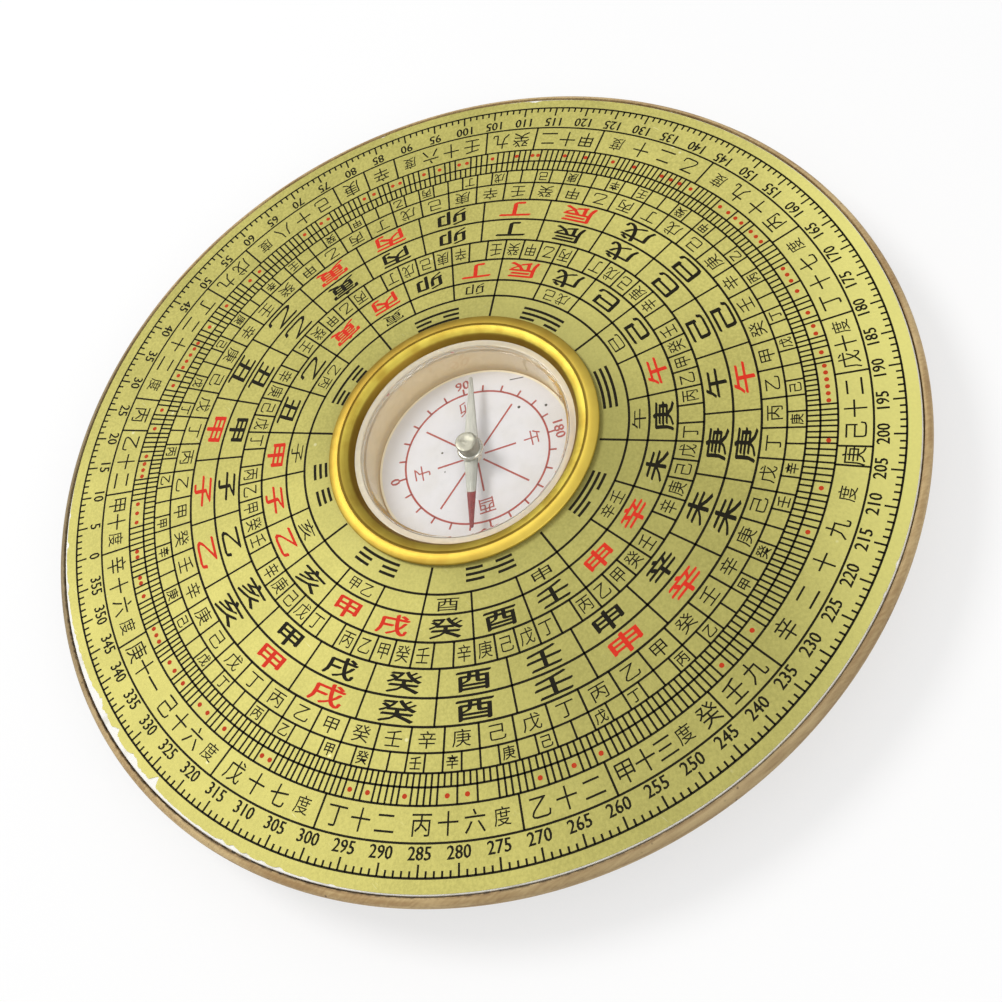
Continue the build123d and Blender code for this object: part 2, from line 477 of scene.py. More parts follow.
@dataclass(frozen=True)
class GoldFilm(Finish):
    """Satin green-gold film, its sheen drawn out along the radii, with a fine grain, pale rubs, painted
    shade near the ring and on two sides, and a painted sheen on a third.
    """

    bright: Colour = tint(198, 190, 106)
    dull: Colour = tint(171, 164, 87)
    rubbed: Colour = tint(236, 233, 190)
    # Painted shade: the colour of the film near the ring and on its shaded sides.
    shaded: Colour = tint(138, 134, 72)
    # Painted sheen: the colour of the film's lighter side.
    pale: Colour = tint(241, 235, 140)
    # Painted shade near the ring rises from this radius to the ring's.
    shaded_radius: float = 25.0
    ring_radius: float = 18.8
    # Heading of one side darkened with painted shade.
    shade_heading: float = 244.0
    # Heading of the side lightened with a painted sheen.
    sheen_heading: float = 192.0
    # Heading of the other side darkened with painted shade, inside a radius of 40.
    inner_shade_heading: float = 165.0

    def apply(self, paint: Paint) -> None:
        """Grain and blotches vary the film's tone, short rubs and flecks lighten it, and painted shade and a
        painted sheen lie over them.

        Args:
            paint: the nodes of the finish's material.
        """
        grain = paint.noise(0.42, 3.0)
        fine = paint.noise(0.16, 2.0)
        tone = (grain * 0.55 + fine * 0.2 + paint.noise(7.0, 3.0) * 0.25).rise(0.32, 0.68)
        hairs = paint.noise(1.0, 2.0, paint.stretch((2.6, 0.2, 1.0), 35.0)).rise(0.66, 0.76)
        rubs = hairs * paint.noise(9.0).rise(0.5, 0.62)
        flecks = paint.specks(4.5).rise(0.07, 0.03) * paint.noise(14.0).rise(0.5, 0.56)
        # Painted shade near the ring and towards two headings.
        near_ring = paint.radius.rise(self.shaded_radius, self.ring_radius)
        aside = paint.math("ABSOLUTE", paint.along(self.shade_heading - 90.0))
        shaded_side = paint.along(self.shade_heading).rise(8.0, 38.0) * aside.rise(30.0, 10.0)
        inner_shaded_side = paint.along(self.inner_shade_heading).rise(4.0, 20.0) * paint.radius.rise(40.0, 19.0)
        # Painted sheen towards one heading, out near the rim.
        painted_sheen = paint.along(self.sheen_heading).rise(35.0, 60.0)
        colour = paint.coats(
            self.dull,
            (tone, self.bright),
            ((rubs * 0.4).either(flecks * 0.5), self.rubbed),
            (near_ring * 0.27 + shaded_side * 0.32 + inner_shaded_side * 0.3, self.shaded),
            (painted_sheen * 0.68, self.pale),
        )
        paint.surface(
            Base_Color=colour,
            Metallic=0.5,
            Roughness=0.46 + grain * 0.16,
            Anisotropic=0.75,
            Anisotropic_Rotation=0.25,
            Normal=paint.bump(grain + fine * 0.5, 0.5, 0.02),
        )


@dataclass(frozen=True)
class PrintInk(Finish):
    """Printing ink with a slightly uneven cover."""

    colour: Colour
    thin: Colour
    unevenness: float = 0.3

    def apply(self, paint: Paint) -> None:
        """The ink's cover varies a little from place to place.

        Args:
            paint: the nodes of the finish's material.
        """
        cover = paint.noise(0.5, 3.0).rise(0.45, 0.8)
        paint.surface(
            Base_Color=paint.blend(cover * self.unevenness, self.colour, self.thin),
            Roughness=0.65,
            Specular_IOR_Level=0.15,
        )


@dataclass(frozen=True)
class GoldMetal(Finish):
    """Satin gold plating on the ring, darker in its groove, with painted shade on its inner wall and on
    shaded sides and a painted highlight on one side.
    """

    bright: Colour = tint(210, 190, 80)
    deep: Colour = tint(188, 160, 60)
    warm: Colour = tint(202, 158, 62)
    # The darker colour in the groove.
    groove_tone: Colour = tint(104, 80, 24)
    # Painted shade: the colour of the inner wall.
    wall: Colour = tint(134, 98, 26)
    # Painted highlight: the colour of the outer band's lit side.
    lit: Colour = tint(236, 212, 94)
    # Painted shade: the colour of the bands' shaded sides.
    dim: Colour = tint(142, 114, 40)
    groove_radius: float = 17.26
    groove_reach: float = 0.3
    wall_radius: float = 15.85
    wall_reach: float = 0.3
    # Headings of the painted highlight and of the painted shade on the outer and inner bands.
    lit_heading: float = 215.0
    dim_heading: float = 95.0
    inner_dim_heading: float = 318.0

    def apply(self, paint: Paint) -> None:
        """Soft patches, faint turning marks, a darker groove, painted shade on the wall and on shaded sides,
        and a painted highlight on the lit side.

        Args:
            paint: the nodes of the finish's material.
        """
        rings = paint.noise(1.0, 2.0, paint.polar(1.5, 6.0, 6.0))
        patches = paint.noise(2.6, 3.0)
        on_outer_band = paint.radius > self.groove_radius
        # Painted highlight on one side of the outer band, painted shade on other sides of both bands.
        lit_side = paint.along(self.lit_heading).rise(3.0, 17.0) * on_outer_band
        dim_side = paint.along(self.dim_heading).rise(-2.0, 15.0) * on_outer_band
        inner_dim = paint.along(self.inner_dim_heading).rise(4.0, 16.0) * (1 - on_outer_band)
        off_groove = paint.math("ABSOLUTE", paint.radius - self.groove_radius)
        # Darker and rougher in the groove.
        in_groove = off_groove.rise(self.groove_reach, 0.0)
        # Painted shade on the inner wall.
        on_wall = paint.radius.rise(self.wall_radius + self.wall_reach, self.wall_radius)
        colour = paint.coats(
            self.deep,
            ((rings * 0.2 + patches * 0.8).rise(0.35, 0.65), self.bright),
            (on_outer_band * 0.4, self.warm),
            (lit_side * 0.5, self.lit),
            (dim_side * 0.4 + inner_dim * 0.6, self.dim),
            (in_groove * 0.7, self.groove_tone),
            (on_wall * 0.85, self.wall),
        )
        paint.surface(
            Base_Color=colour,
            Metallic=0.82,
            Roughness=0.44 + patches * 0.1 + in_groove * 0.2,
            Normal=paint.bump(rings, 0.08, 0.02),
        )


@dataclass(frozen=True)
class ClearPlastic(Finish):
    """Clear moulded plastic, milky where the moulding is scuffed, that lets the lamps in."""

    body: Colour = tint(252, 252, 251)
    refraction: float = 1.49
    milk: Colour = tint(246, 240, 222)
    rim_share: float = 0.5
    rim_radius: float = 14.5
    rim_blur: float = 0.1
    scuff_share: float = 0.1
    core_share: float = 0.0
    core_radius: float = 0.95
    core_blur: float = 0.05

    def apply(self, paint: Paint) -> None:
        """Lamps and bounced light pass straight through, and the eye sees it refract.

        Args:
            paint: the nodes of the finish's material.
        """
        clear = paint.shader(
            "ShaderNodeBsdfPrincipled",
            Base_Color=self.body,
            Transmission_Weight=1.0,
            IOR=self.refraction,
            Roughness=0.02,
            Specular_IOR_Level=0.3,
        )
        milk = paint.shader("ShaderNodeBsdfPrincipled", Base_Color=self.milk, Roughness=0.25)
        scuffs = paint.noise(1.2, 4.0).rise(0.45, 0.75) * self.scuff_share
        rim_edge = (self.rim_radius - self.rim_blur, self.rim_radius + self.rim_blur)
        core_edge = (self.core_radius + self.core_blur, self.core_radius - self.core_blur)
        rim = paint.radius.rise(*rim_edge) * self.rim_share
        core = paint.radius.rise(*core_edge) * self.core_share
        through = paint.shader("ShaderNodeBsdfTransparent", Color=self.body)
        lamps = paint.rays("Is Shadow Ray", "Is Diffuse Ray")
        paint.show(paint.mixed(lamps, paint.mixed(scuffs + rim + core, clear, milk), through))


@dataclass(frozen=True)
class WhiteCard(Finish):
    """Smooth white card with a trace of ageing and a painted cream highlight along its cut edge."""

    clean: Colour = tint(235, 233, 237)
    aged: Colour = tint(228, 225, 224)
    # Painted highlight: the cream colour round the card's edge.
    edge: Colour = tint(255, 246, 220)
    glint_radius: float = 13.65

    def apply(self, paint: Paint) -> None:
        """A faint warm cast in patches, and a painted cream highlight round the edge.

        Args:
            paint: the nodes of the finish's material.
        """
        cast = paint.noise(4.0, 3.0).rise(0.42, 0.75)
        colour = paint.blend(cast * 0.7, self.clean, self.aged)
        paint.surface(
            # Painted highlight in cream round the card's edge.
            Base_Color=paint.blend(paint.radius > self.glint_radius, colour, self.edge),
            Roughness=0.75,
            Normal=paint.bump(paint.noise(0.2, 3.0), 0.2, 0.01),
        )


@dataclass(frozen=True)
class NeedlePaint(Finish):
    """Satin steel with one end painted red, the paint's edge uneven and its face scuffed."""

    steel: Colour = tint(180, 178, 168)
    stain: Colour = tint(132, 133, 124)
    red: Colour = tint(124, 14, 6)
    rub: Colour = tint(176, 56, 40)
    heading: float = NEEDLE_HEADING
    paint_start: float = 6.48

    def apply(self, paint: Paint) -> None:
        """Steel, then paint from its edge out to the tip.

        Args:
            paint: the nodes of the finish's material.
        """
        streaks = paint.noise(1.0, 3.0, paint.stretch((3.0, 0.2, 1.0), 90.0 - self.heading))
        along = paint.along(self.heading)
        ragged = along + paint.noise(0.35, 2.0) * 0.3
        painted = ragged.rise(self.paint_start + 0.08, self.paint_start + 0.2)
        stained = streaks.rise(0.4, 0.75) * 0.5 + along.rise(-2.0, 3.0) * 0.4
        steel = paint.blend(stained, self.steel, self.stain)
        red = paint.blend(paint.noise(0.5, 3.0).rise(0.55, 0.7) * 0.5, self.red, self.rub)
        paint.surface(
            Base_Color=paint.blend(painted, steel, red),
            Metallic=(1 - painted) * 0.35,
            Roughness=0.5 - painted * 0.04,
            Specular_IOR_Level=0.2,
            Normal=paint.bump(streaks + painted, 0.3, 0.02),
        )


@dataclass(frozen=True)
class TurnedMetal(Finish):
    """Bright turned metal with fine rings and light tarnish."""

    bright: Colour = tint(214, 214, 204)
    tarnish: Colour = tint(152, 150, 136)
    shine: float = 0.22
    metal: float = 0.8

    def apply(self, paint: Paint) -> None:
        """Tool rings with patches of tarnish.

        Args:
            paint: the nodes of the finish's material.
        """
        rings = paint.noise(1.0, 2.0, paint.polar(0.4, 5.0, 5.0))
        dull = paint.noise(0.6, 3.0).rise(0.45, 0.75)
        paint.surface(
            Base_Color=paint.blend(dull * 0.7, self.bright, self.tarnish),
            Metallic=self.metal,
            Roughness=self.shine + dull * 0.15,
            Normal=paint.bump(rings, 0.8, 0.06),
        )


@dataclass(frozen=True)
class PolishedJewel(Finish):
    """Polished clear bearing stone."""

    body: Colour = tint(214, 220, 232)

    def apply(self, paint: Paint) -> None:
        """Faintly clouded clear stone."""
        cloud = paint.noise(0.3, 2.0)
        paint.surface(Base_Color=self.body, Transmission_Weight=0.8, IOR=1.6, Roughness=cloud * 0.1)


def add_object(name: str, data: bpy.types.ID) -> bpy.types.Object:
    """Add an object that holds some data to the scene.

    Args:
        name: the object's name.
        data: its mesh, curve, light or camera.

    Returns:
        The object.
    """
    made = bpy.data.objects.new(name, data)
    bpy.context.scene.collection.objects.link(made)
    return made


def as_mesh(solid: bmesh.types.BMesh, name: str) -> bpy.types.Mesh:
    """Move a solid into a new mesh.

    Args:
        solid: the solid, which is freed.
        name: the mesh's name.

    Returns:
        The mesh.
    """
    mesh = bpy.data.meshes.new(name)
    solid.to_mesh(mesh)
    solid.free()
    return mesh


def spin(solid: bmesh.types.BMesh, line: list, turn: float, steps: int) -> None:
    """Sweep a line about the upright axis, and close the sweep where it is a full turn.

    Args:
        solid: the mesh that holds the line.
        line: its corners and edges.
        turn: how far it turns about +Z, in radians.
        steps: how many straight pieces the sweep has.
    """
    bmesh.ops.spin(
        solid,
        geom=line,
        cent=(0, 0, 0),
        axis=(0, 0, 1),
        angle=turn,
        steps=steps,
        use_merge=abs(turn) == FULL_TURN,
    )


def raise_faces(flat: bmesh.types.BMesh, height: float) -> None:
    """Raise every face of a flat mesh, so that each stands on a copy of itself.

    Args:
        flat: the mesh.
        height: how far its faces go up.
    """
    grown = bmesh.ops.extrude_face_region(flat, geom=flat.faces[:], use_keep_orig=True)["geom"]
    lifted = [item for item in grown if isinstance(item, bmesh.types.BMVert)]
    bmesh.ops.translate(flat, vec=(0.0, 0.0, height), verts=lifted)


@dataclass(frozen=True)
class Reach:
    """How far a node of the frame reaches, in millimetres."""

    radius: float
    bottom: float
    top: float

    @classmethod
    def of(cls, node: str) -> Reach:
        """Measure a node that is round about the axis."""
        low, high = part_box(node)
        return cls(high.x * METRE, low.z * METRE, high.z * METRE)


def cup_wall() -> tuple[float, float]:
    """Inner and outer radius of the cup's wall, which stands round the card."""
    inner = Reach.of("compass_card").radius + CARD_CLEARANCE
    return inner, inner + CUP_WALL


class Outline:
    """An outline in the plane of radius and height, turned about the upright axis."""

    def __init__(self, *corners: tuple[float, ...]) -> None:
        """Start with straight runs between corners.

        Args:
            corners: the first corners, as lines takes them.
        """
        self.points: list[tuple[float, float]] = []
        self.eases: dict[int, float] = {}
        self.lines(*corners)

    @classmethod
    def flat_ring(cls, hole: float, reach: Reach, ease: float = 0.0) -> Outline:
        """Outline a flat ring.

        Args:
            hole: its inner radius.
            reach: its outer radius, bottom and top.
            ease: size of the rounding of its upper outer edge.

        Returns:
            The outline.
        """
        outline = cls((hole, reach.bottom), (reach.radius, reach.bottom))
        outline.lines((reach.radius, reach.top, ease), (hole, reach.top))
        return outline

    def lines(self, *corners: tuple[float, ...]) -> None:
        """Draw straight runs.

        Args:
            corners: where each one ends, as a radius and a height, with the size of the small
                rounding there if it has one.
        """
        for radius, height, *ease in corners:
            if any(ease):
                self.eases[len(self.points)] = ease[0]
            self.points.append((radius, height))

    def arc(self, via: tuple[float, float], end: tuple[float, float], steps: int) -> None:
        """Draw an arc through a point to an end.

        Args:
            via: a point on the arc.
            end: where it ends.
            steps: how many chords it gets.
        """
        start, through, stop = (complex(*point) for point in (self.points[-1], via, end))
        lean = (stop - start) / (through - start)
        centre = start + (through - start) * (abs(lean) ** 2 - lean) / (lean.conjugate() - lean)
        first, middle, last = (cmath.phase(point - centre) for point in (start, through, stop))
        sweep = math.remainder(middle - first, FULL_TURN) + math.remainder(last - middle, FULL_TURN)
        for step in range(1, steps + 1):
            reached = centre + (start - centre) * cmath.rect(1.0, sweep * step / steps)
            self.points.append((reached.real, reached.imag))

    def turned(self, steps: int = 360) -> bmesh.types.BMesh:
        """Turn the outline into a closed solid.

        Args:
            steps: how many faces go round.

        Returns:
            The solid; an outline that starts and ends on the axis is closed by two poles.
        """
        solid = bmesh.new()
        corners = [solid.verts.new((radius, 0.0, height)) for radius, height in self.points]
        on_axis = self.points[0][0] == 0 and self.points[-1][0] == 0
        following = corners[1:] if on_axis else corners[1:] + corners[:1]
        for corner, after in zip(corners, following):
            solid.edges.new((corner, after))
        for size in sorted(set(self.eases.values())):
            eased = [corners[index] for index, ease in self.eases.items() if ease == size]
            bmesh.ops.bevel(
                solid, geom=eased, offset=size, segments=3, profile=0.5, affect="VERTICES", material=-1
            )
        spin(solid, solid.verts[:] + solid.edges[:], FULL_TURN, steps)
        bmesh.ops.remove_doubles(solid, verts=solid.verts, dist=MERGE)
        bmesh.ops.recalc_face_normals(solid, faces=solid.faces)
        return solid


class Body(Enum):
    """The bodies of the compass."""

    BASE = "base"
    NEEDLE = "needle"


def finish_piece(
    solid: bmesh.types.BMesh,
    name: str,
    finish: Finish,
    slot: str,
    *nodes: str,
    body: Body = Body.BASE,
    crease: float = 35.0,
) -> None:
    """Make a solid into a finished piece of the compass.

    Args:
        solid: the closed mesh in millimetres, which is freed.
        name: the piece's name.
        finish: its finish.
        slot: not used.
        nodes: the nodes of the frame that it stands for.
        body: the body it rides on.
        crease: edges that turn more than this many degrees stay sharp.
    """
    bmesh.ops.scale(solid, vec=(1 / METRE,) * 3, verts=solid.verts)
    mesh = as_mesh(solid, name)
    mesh.shade_smooth()
    mesh.set_sharp_from_angle(angle=math.radians(crease))
    mesh.materials.append(material_of(finish))
    piece = add_object(name, mesh)
    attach(piece, body.value)
    if nodes:
        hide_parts(*nodes)
    log.info("%s: %d faces on %s", name, len(mesh.polygons), body.value)


def carved(solid: bmesh.types.BMesh, cutter: bmesh.types.BMesh) -> bmesh.types.BMesh:
    """Cut one closed mesh out of another.

    Args:
        solid: the mesh to cut, which is freed.
        cutter: what is taken away, which is freed.

    Returns:
        What is left.
    """
    holders = [add_object("carving", as_mesh(shape, "carving")) for shape in (solid, cutter)]
    cut = holders[0].modifiers.new("cut", "BOOLEAN")
    cut.object = holders[1]
    cut.solver = "EXACT"
    graph = bpy.context.evaluated_depsgraph_get()
    left = bmesh.new()
    left.from_mesh(holders[0].evaluated_get(graph).data)
    for holder in holders:
        bpy.data.objects.remove(holder)
    return left


def spot(heading: float, radius: float, height: float, outward: bool = False) -> Matrix:
    """Place for a mark on the dial.

    Args:
        heading: its heading in degrees.
        radius: its distance from the axis.
        height: its height.
        outward: True if its top points away from the centre, else towards it.

    Returns:
        A matrix whose X runs to the mark's right and whose Y runs to its top.
    """
    facing = 0.0 if outward else math.pi
    turn = math.radians(-heading)
    place = Matrix.Rotation(turn, 4, "Z") @ Matrix.Translation((0.0, radius, height))
    return place @ Matrix.Rotation(facing, 4, "Z")


@functools.cache
def cut_lettering(text: str, weight: float = 0.0, smoothness: int = 2) -> bpy.types.Mesh:
    """Cut a text from the plain built-in typeface as a flat mesh, once.

    Args:
        text: what it says.
        weight: how far its strokes are thickened, as a share of the type size.
        smoothness: how many pieces each curve of a stroke has.

    Returns:
        The flat mesh, with the type size as its unit.
    """
    curve = bpy.data.curves.new("lettering", "FONT")
    curve.body = text
    curve.resolution_u = smoothness
    curve.offset = weight
    holder = add_object("lettering", curve)
    graph = bpy.context.evaluated_depsgraph_get()
    mesh = bpy.data.meshes.new_from_object(holder.evaluated_get(graph))
    bpy.data.objects.remove(holder)
    bpy.data.curves.remove(curve)
    return mesh


class InkSheet:
    """Flat marks of one ink, gathered and then raised together into thin closed solids.

    The ink's underside lies sunk below the printed surface, and its top stands proud of it.
    """

    sunk = 0.01
    proud = 0.015
    pen = Vector((0.1, 0.055))
    fine_pen = Vector((0.045, 0.02))
    layer = 0.002
    sign_middle = Vector((0.5, 0.37))
    digit_share = 0.7

    def __init__(self, height: float, turn: float = 0.0) -> None:
        """Start an empty sheet.

        Args:
            height: the printed surface's height.
            turn: how many degrees its marks are turned from the headings they are given.
        """
        self.height = height
        self.turn = turn
        self.flat = bmesh.new()

    def place(self, heading: float, radius: float, outward: bool = False) -> Matrix:
        """Place for a mark on this sheet."""
        return spot(heading + self.turn, radius, self.height - self.sunk, outward)

    def bar(self, place: Matrix, length: float, width: float) -> None:
        """Print a bar.

        Args:
            place: where its middle lies.
            length: its size along the place's X.
            width: its size along the place's Y.
        """
        shape = place @ Matrix.Diagonal((length, width, 1.0, 1.0))
        bmesh.ops.create_grid(self.flat, x_segments=1, y_segments=1, size=0.5, matrix=shape)

    def spoke(self, heading: float, inner: float, outer: float, width: float) -> None:
        """Print a radial line.

        Args:
            heading: its heading.
            inner, outer: the radii where it starts and ends.
            width: its width.
        """
        self.bar(self.place(heading, (inner + outer) / 2), width, outer - inner)

    def circle(self, radius: float, width: float, steps: int = 240) -> None:
        """Print a thin circle line round the axis.

        Args:
            radius: radius of its middle.
            width: its width.
            steps: how many straight pieces it has.
        """
        self.sweep(90.0, radius, width, FULL_TURN, steps)

    def arc(self, start: float, end: float, radius: float, width: float, steps: int = 8) -> None:
        """Print a bar that follows the dial's circles.

        Args:
            start, end: the headings of its two ends.
            radius: radius of its middle.
            width: its width.
            steps: how many straight pieces it has.
        """
        self.sweep(start, radius, width, math.radians(start - end), steps)

    def sweep(self, start: float, radius: float, width: float, turn: float, steps: int) -> None:
        """Turn a short radial line about the axis.

        Args:
            start: the heading where it starts.
            radius: radius of its middle.
            width: its length.
            turn: how far it turns about +Z, in radians.
            steps: how many straight pieces the swept strip has.
        """
        place = self.place(start, radius)
        ends = [self.flat.verts.new(place @ Vector((0.0, side * width / 2, 0.0))) for side in (-1, 1)]
        spin(self.flat, [*ends, self.flat.edges.new(ends)], turn, steps)

    def dot(self, place: Matrix, diameter: float) -> None:
        """Print a round dot."""
        bmesh.ops.create_circle(self.flat, cap_ends=True, segments=12, radius=diameter / 2, matrix=place)

    def sign(self, text: str, place: Matrix, width: float, height: float, weight: float = 0.0) -> None:
        """Print one square sign.

        Args:
            text: the sign.
            place: where its middle lies.
            width, height: the size of the square that such signs are drawn in.
            weight: how far its strokes are thickened, as a share of the type size.
        """
        self.stamp(text, place, self.sign_middle, width, height, weight)

    def bold_sign(self, text: str, place: Matrix, width: float, height: float) -> None:
        """Print one square sign with the strokes of a broad slanted pen.

        Args:
            text: the sign.
            place: where its middle lies.
            width, height: the size of the square that such signs are drawn in.
        """
        for nudge in self.nudges(self.pen):
            self.sign(text, place @ nudge, width, height)

    def nudges(self, pen: Vector) -> list[Matrix]:
        """Small shifts that broaden a stroke when it is printed once at each.

        Args:
            pen: how far each side goes.

        Returns:
            The middle and the two sides, each a little lower than the last.
        """
        lowered = (Vector((0.0, 0.0, self.layer * (side % 3))) for side in (0, 1, -1))
        return [Matrix.Translation((pen * side).to_3d() - low) for side, low in zip((0, 1, -1), lowered)]

    def figures(self, text: str, place: Matrix, height: float, width_share: float = 1.0) -> None:
        """Print a number with bold strokes.

        Args:
            text: its digits.
            place: where its middle lies.
            height: how tall the digits are.
            width_share: how wide they are, as a share of the typeface's own width.
        """
        across = [corner.co.x for corner in cut_lettering(text).vertices]
        middle = Vector(((min(across) + max(across)) / 2, self.digit_share / 2))
        size = height / self.digit_share
        for nudge in self.nudges(self.fine_pen):
            self.stamp(text, place @ nudge, middle, size * width_share, size)

    def stamp(
        self, text: str, place: Matrix, middle: Vector, width: float, height: float, weight: float = 0.0
    ) -> None:
        """Stamp lettering on the sheet.

        Args:
            text: what to stamp.
            place: where its middle lies.
            middle: its middle in type sizes.
            width, height: the type size across and up.
            weight: how far its strokes are thickened.
        """
        before = len(self.flat.verts)
        self.flat.from_mesh(cut_lettering(text, weight))
        self.flat.verts.ensure_lookup_table()
        shape = place @ Matrix.Diagonal((width, height, 1.0, 1.0)) @ Matrix.Translation((-middle).to_3d())
        bmesh.ops.transform(self.flat, matrix=shape, verts=self.flat.verts[before:])

    def raised(self) -> bmesh.types.BMesh:
        """Raise every mark into a thin closed solid.

        Returns:
            The sheet's mesh.
        """
        raise_faces(self.flat, self.sunk + self.proud)
        bmesh.ops.recalc_face_normals(self.flat, faces=self.flat.faces)
        return self.flat


BRANCHES = "子丑寅卯辰巳午未申酉戌亥"
STEMS = "甲乙丙丁戊己庚辛壬癸"
NUMERALS = "一二三四五六七八九"
TEN = "十"
DEGREE = "度"


def in_numerals(number: int) -> str:
    """Write a whole number from 1 to 99 in Chinese numerals.

    Args:
        number: the number.

    Returns:
        One to three numerals.
    """
    tens, ones = divmod(number, 10)
    lead = (NUMERALS[tens - 1] if tens > 1 else "") + TEN if tens else ""
    return lead + (NUMERALS[ones - 1] if ones else "")


def ordinal(cell: int) -> str:
    """The sign of one of 24 cells: branches in the even ones, stems between them."""
    return BRANCHES[cell // 2] if cell % 2 == 0 else STEMS[cell // 2 % len(STEMS)]


def around(count: int, start: float = 0.0) -> list[float]:
    """Headings of evenly spaced places all round the dial, from a start."""
    return [start + 360 / count * index for index in range(count)]


@dataclass(frozen=True)
class Band:
    """A ring of the dial between two circles."""

    outer: float
    inner: float

    @property
    def middle(self) -> float:
        """Radius half way across the ring."""
        return (self.outer + self.inner) / 2


class Trigram(Enum):
    """The eight trigrams by heading; True is an unbroken bar, and the outermost comes first."""

    N = (False, False, False)
    NE = (True, False, False)
    E = (True, False, True)
    SE = (True, True, False)
    S = (True, True, True)
    SW = (False, True, True)
    W = (False, True, False)
    NW = (False, False, True)


@dataclass
class DialPrint:
    """The rings of signs, lines and degrees printed on the film."""

    height: float
    degrees: Band = Band(56.98, 53.11)
    mansions: Band = Band(53.11, 48.87)
    omens: Band = Band(48.87, 46.73)
    singles: Band = Band(46.73, 45.08)
    thirds: Band = Band(45.08, 42.70)
    sixties: Band = Band(42.70, 39.56)
    outer_signs: Band = Band(39.56, 36.01)
    middle_signs: Band = Band(36.01, 32.33)
    seventy_two: Band = Band(32.33, 28.95)
    inner_signs: Band = Band(28.95, 25.29)
    pairs: Band = Band(25.29, 22.62)
    trigrams: Band = Band(22.62, 18.95)
    fine_line: float = 0.25
    line: float = 0.27
    bold_line: float = 0.31
    old_degrees: int = 365
    wander: Size = (1.2, 3.0)
    jitter: Size = (0.12, 190.0)
    scale_turn: float = 0.3
    core_turn: float = -0.55
    offset: tuple[float, float, float] = (0.07, 0.02, 0.0)
    short_tick: float = 0.8
    long_tick: float = 1.54
    figure_radius: float = 54.2
    figure_height: float = 1.56
    figure_share: float = 0.88
    mansion_size: Size = (2.75, 3.05)
    degree_share: float = 0.78
    least_pitch: float = 3.2
    widest_pitch: float = 5.2
    end_share: float = 0.4
    tiny_size: Size = (1.62, 1.75)
    tiny_weight: float = 0.01
    small_size: Size = (2.5, 2.3)
    slim_size: Size = (1.95, 2.4)
    outer_size: Size = (5.2, 2.95)
    middle_size: Size = (4.8, 2.9)
    inner_size: Size = (4.6, 2.85)
    wide_size: Size = (3.3, 2.0)
    paired_size: Size = (2.0, 2.0)
    paired_pitch: float = 5.2
    bar_width: float = 0.38
    bar_pitch: float = 0.8
    bar_reach: float = 9.1
    bar_opening: float = 2.5
    outermost_bar: float = 21.08
    dot_diameter: float = 0.62
    red_cells: frozenset[int] = frozenset((0, 1, 4, 5, 7, 8, 12, 15, 16, 20, 21, 23))
    black: PrintInk = PrintInk(tint(22, 18, 2), tint(52, 44, 10))
    red: PrintInk = PrintInk(tint(210, 46, 26), tint(222, 84, 50))
    dot_red: PrintInk = PrintInk(tint(184, 56, 20), tint(200, 88, 38))
    mansion_starts: tuple[float, ...] = (
        0, 10.3, 21.8, 27.7, 49.7, 58.7, 76.5, 82.3, 87.8, 104.3, 113, 124.5, 144.5, 163.3,
        180.5, 190.3, 202.2, 205.2, 234.5, 243.2, 247, 259.8, 272, 288, 300.1, 317.5, 333, 343.7,
    )
    unlined_starts: frozenset[float] = frozenset((247, 288, 333))
    omen_cells: tuple[tuple[int, int, int], ...] = (
        (3, 8, 3), (12, 16, 3), (16, 18, 1), (21, 23, 1), (25, 27, 1), (30, 32, 1), (32, 34, 1),
        (34, 39, 4), (39, 41, 1), (43, 45, 1), (48, 50, 1), (54, 56, 1), (56, 58, 1), (67, 69, 1),
        (71, 74, 2), (80, 82, 1), (82, 84, 1), (86, 89, 2), (92, 94, 1), (95, 97, 1), (99, 102, 2),
        (105, 107, 1), (110, 111, 1), (113, 115, 2), (119, 120, 1), (123, 124, 1), (128, 130, 1),
        (132, 133, 1), (138, 139, 1), (140, 141, 1), (142, 143, 1), (144, 146, 1), (150, 154, 2),
        (154, 157, 2), (159, 163, 3), (168, 172, 3), (172, 175, 1), (177, 179, 1), (180, 183, 2),
        (185, 187, 1), (188, 195, 6), (201, 202, 1), (208, 210, 1), (215, 217, 1), (231, 234, 1),
        (238, 240, 1), (259, 261, 1), (263, 265, 1), (268, 270, 1), (275, 278, 0), (278, 281, 1),
        (281, 284, 1), (287, 289, 1), (293, 295, 1), (296, 298, 1), (310, 313, 2), (319, 321, 1),
        (324, 328, 2), (331, 333, 1), (334, 337, 2), (340, 344, 3), (349, 351, 1), (352, 354, 2),
        (357, 359, 2),
    )

    def build(self) -> None:
        """Print every ring and finish each ink's part of it."""
        self.finish(self.print_lines(), "print_lines", self.black)
        self.finish(self.print_degrees(), "print_degrees", self.black)
        self.finish(self.print_mansions(), "print_mansions", self.black)
        self.finish(self.print_small_signs(), "print_small_signs", self.black)
        self.finish(self.print_trigrams(), "print_trigrams", self.black)
        self.finish(self.print_omens(), "print_omen_dots", self.dot_red)
        self.finish(self.print_large_signs(False), "print_signs_black", self.black)
        self.finish(self.print_large_signs(True), "print_signs_red", self.red)

    def finish(self, sheet: InkSheet, name: str, ink: PrintInk) -> None:
        """Raise a sheet and make it a piece, a little off the dial's centre as it was cut."""
        bmesh.ops.translate(sheet.flat, vec=self.offset, verts=sheet.flat.verts)
        finish_piece(sheet.raised(), name, ink, "gold_foil")

    def uneven_degrees(self) -> list[float]:
        """The old division of the circle into 365 parts, as unevenly spaced as it was drawn.

        Returns:
            The headings of its lines.
        """
        headings = []
        for part in range(self.old_degrees):
            turn = Vector((math.sin(part * FULL_TURN / self.old_degrees), part / self.old_degrees, 0.0))
            drift = sum(reach * noise.noise(turn * rate) for reach, rate in (self.wander, self.jitter))
            headings.append(part * 360 / self.old_degrees + drift)
        return headings

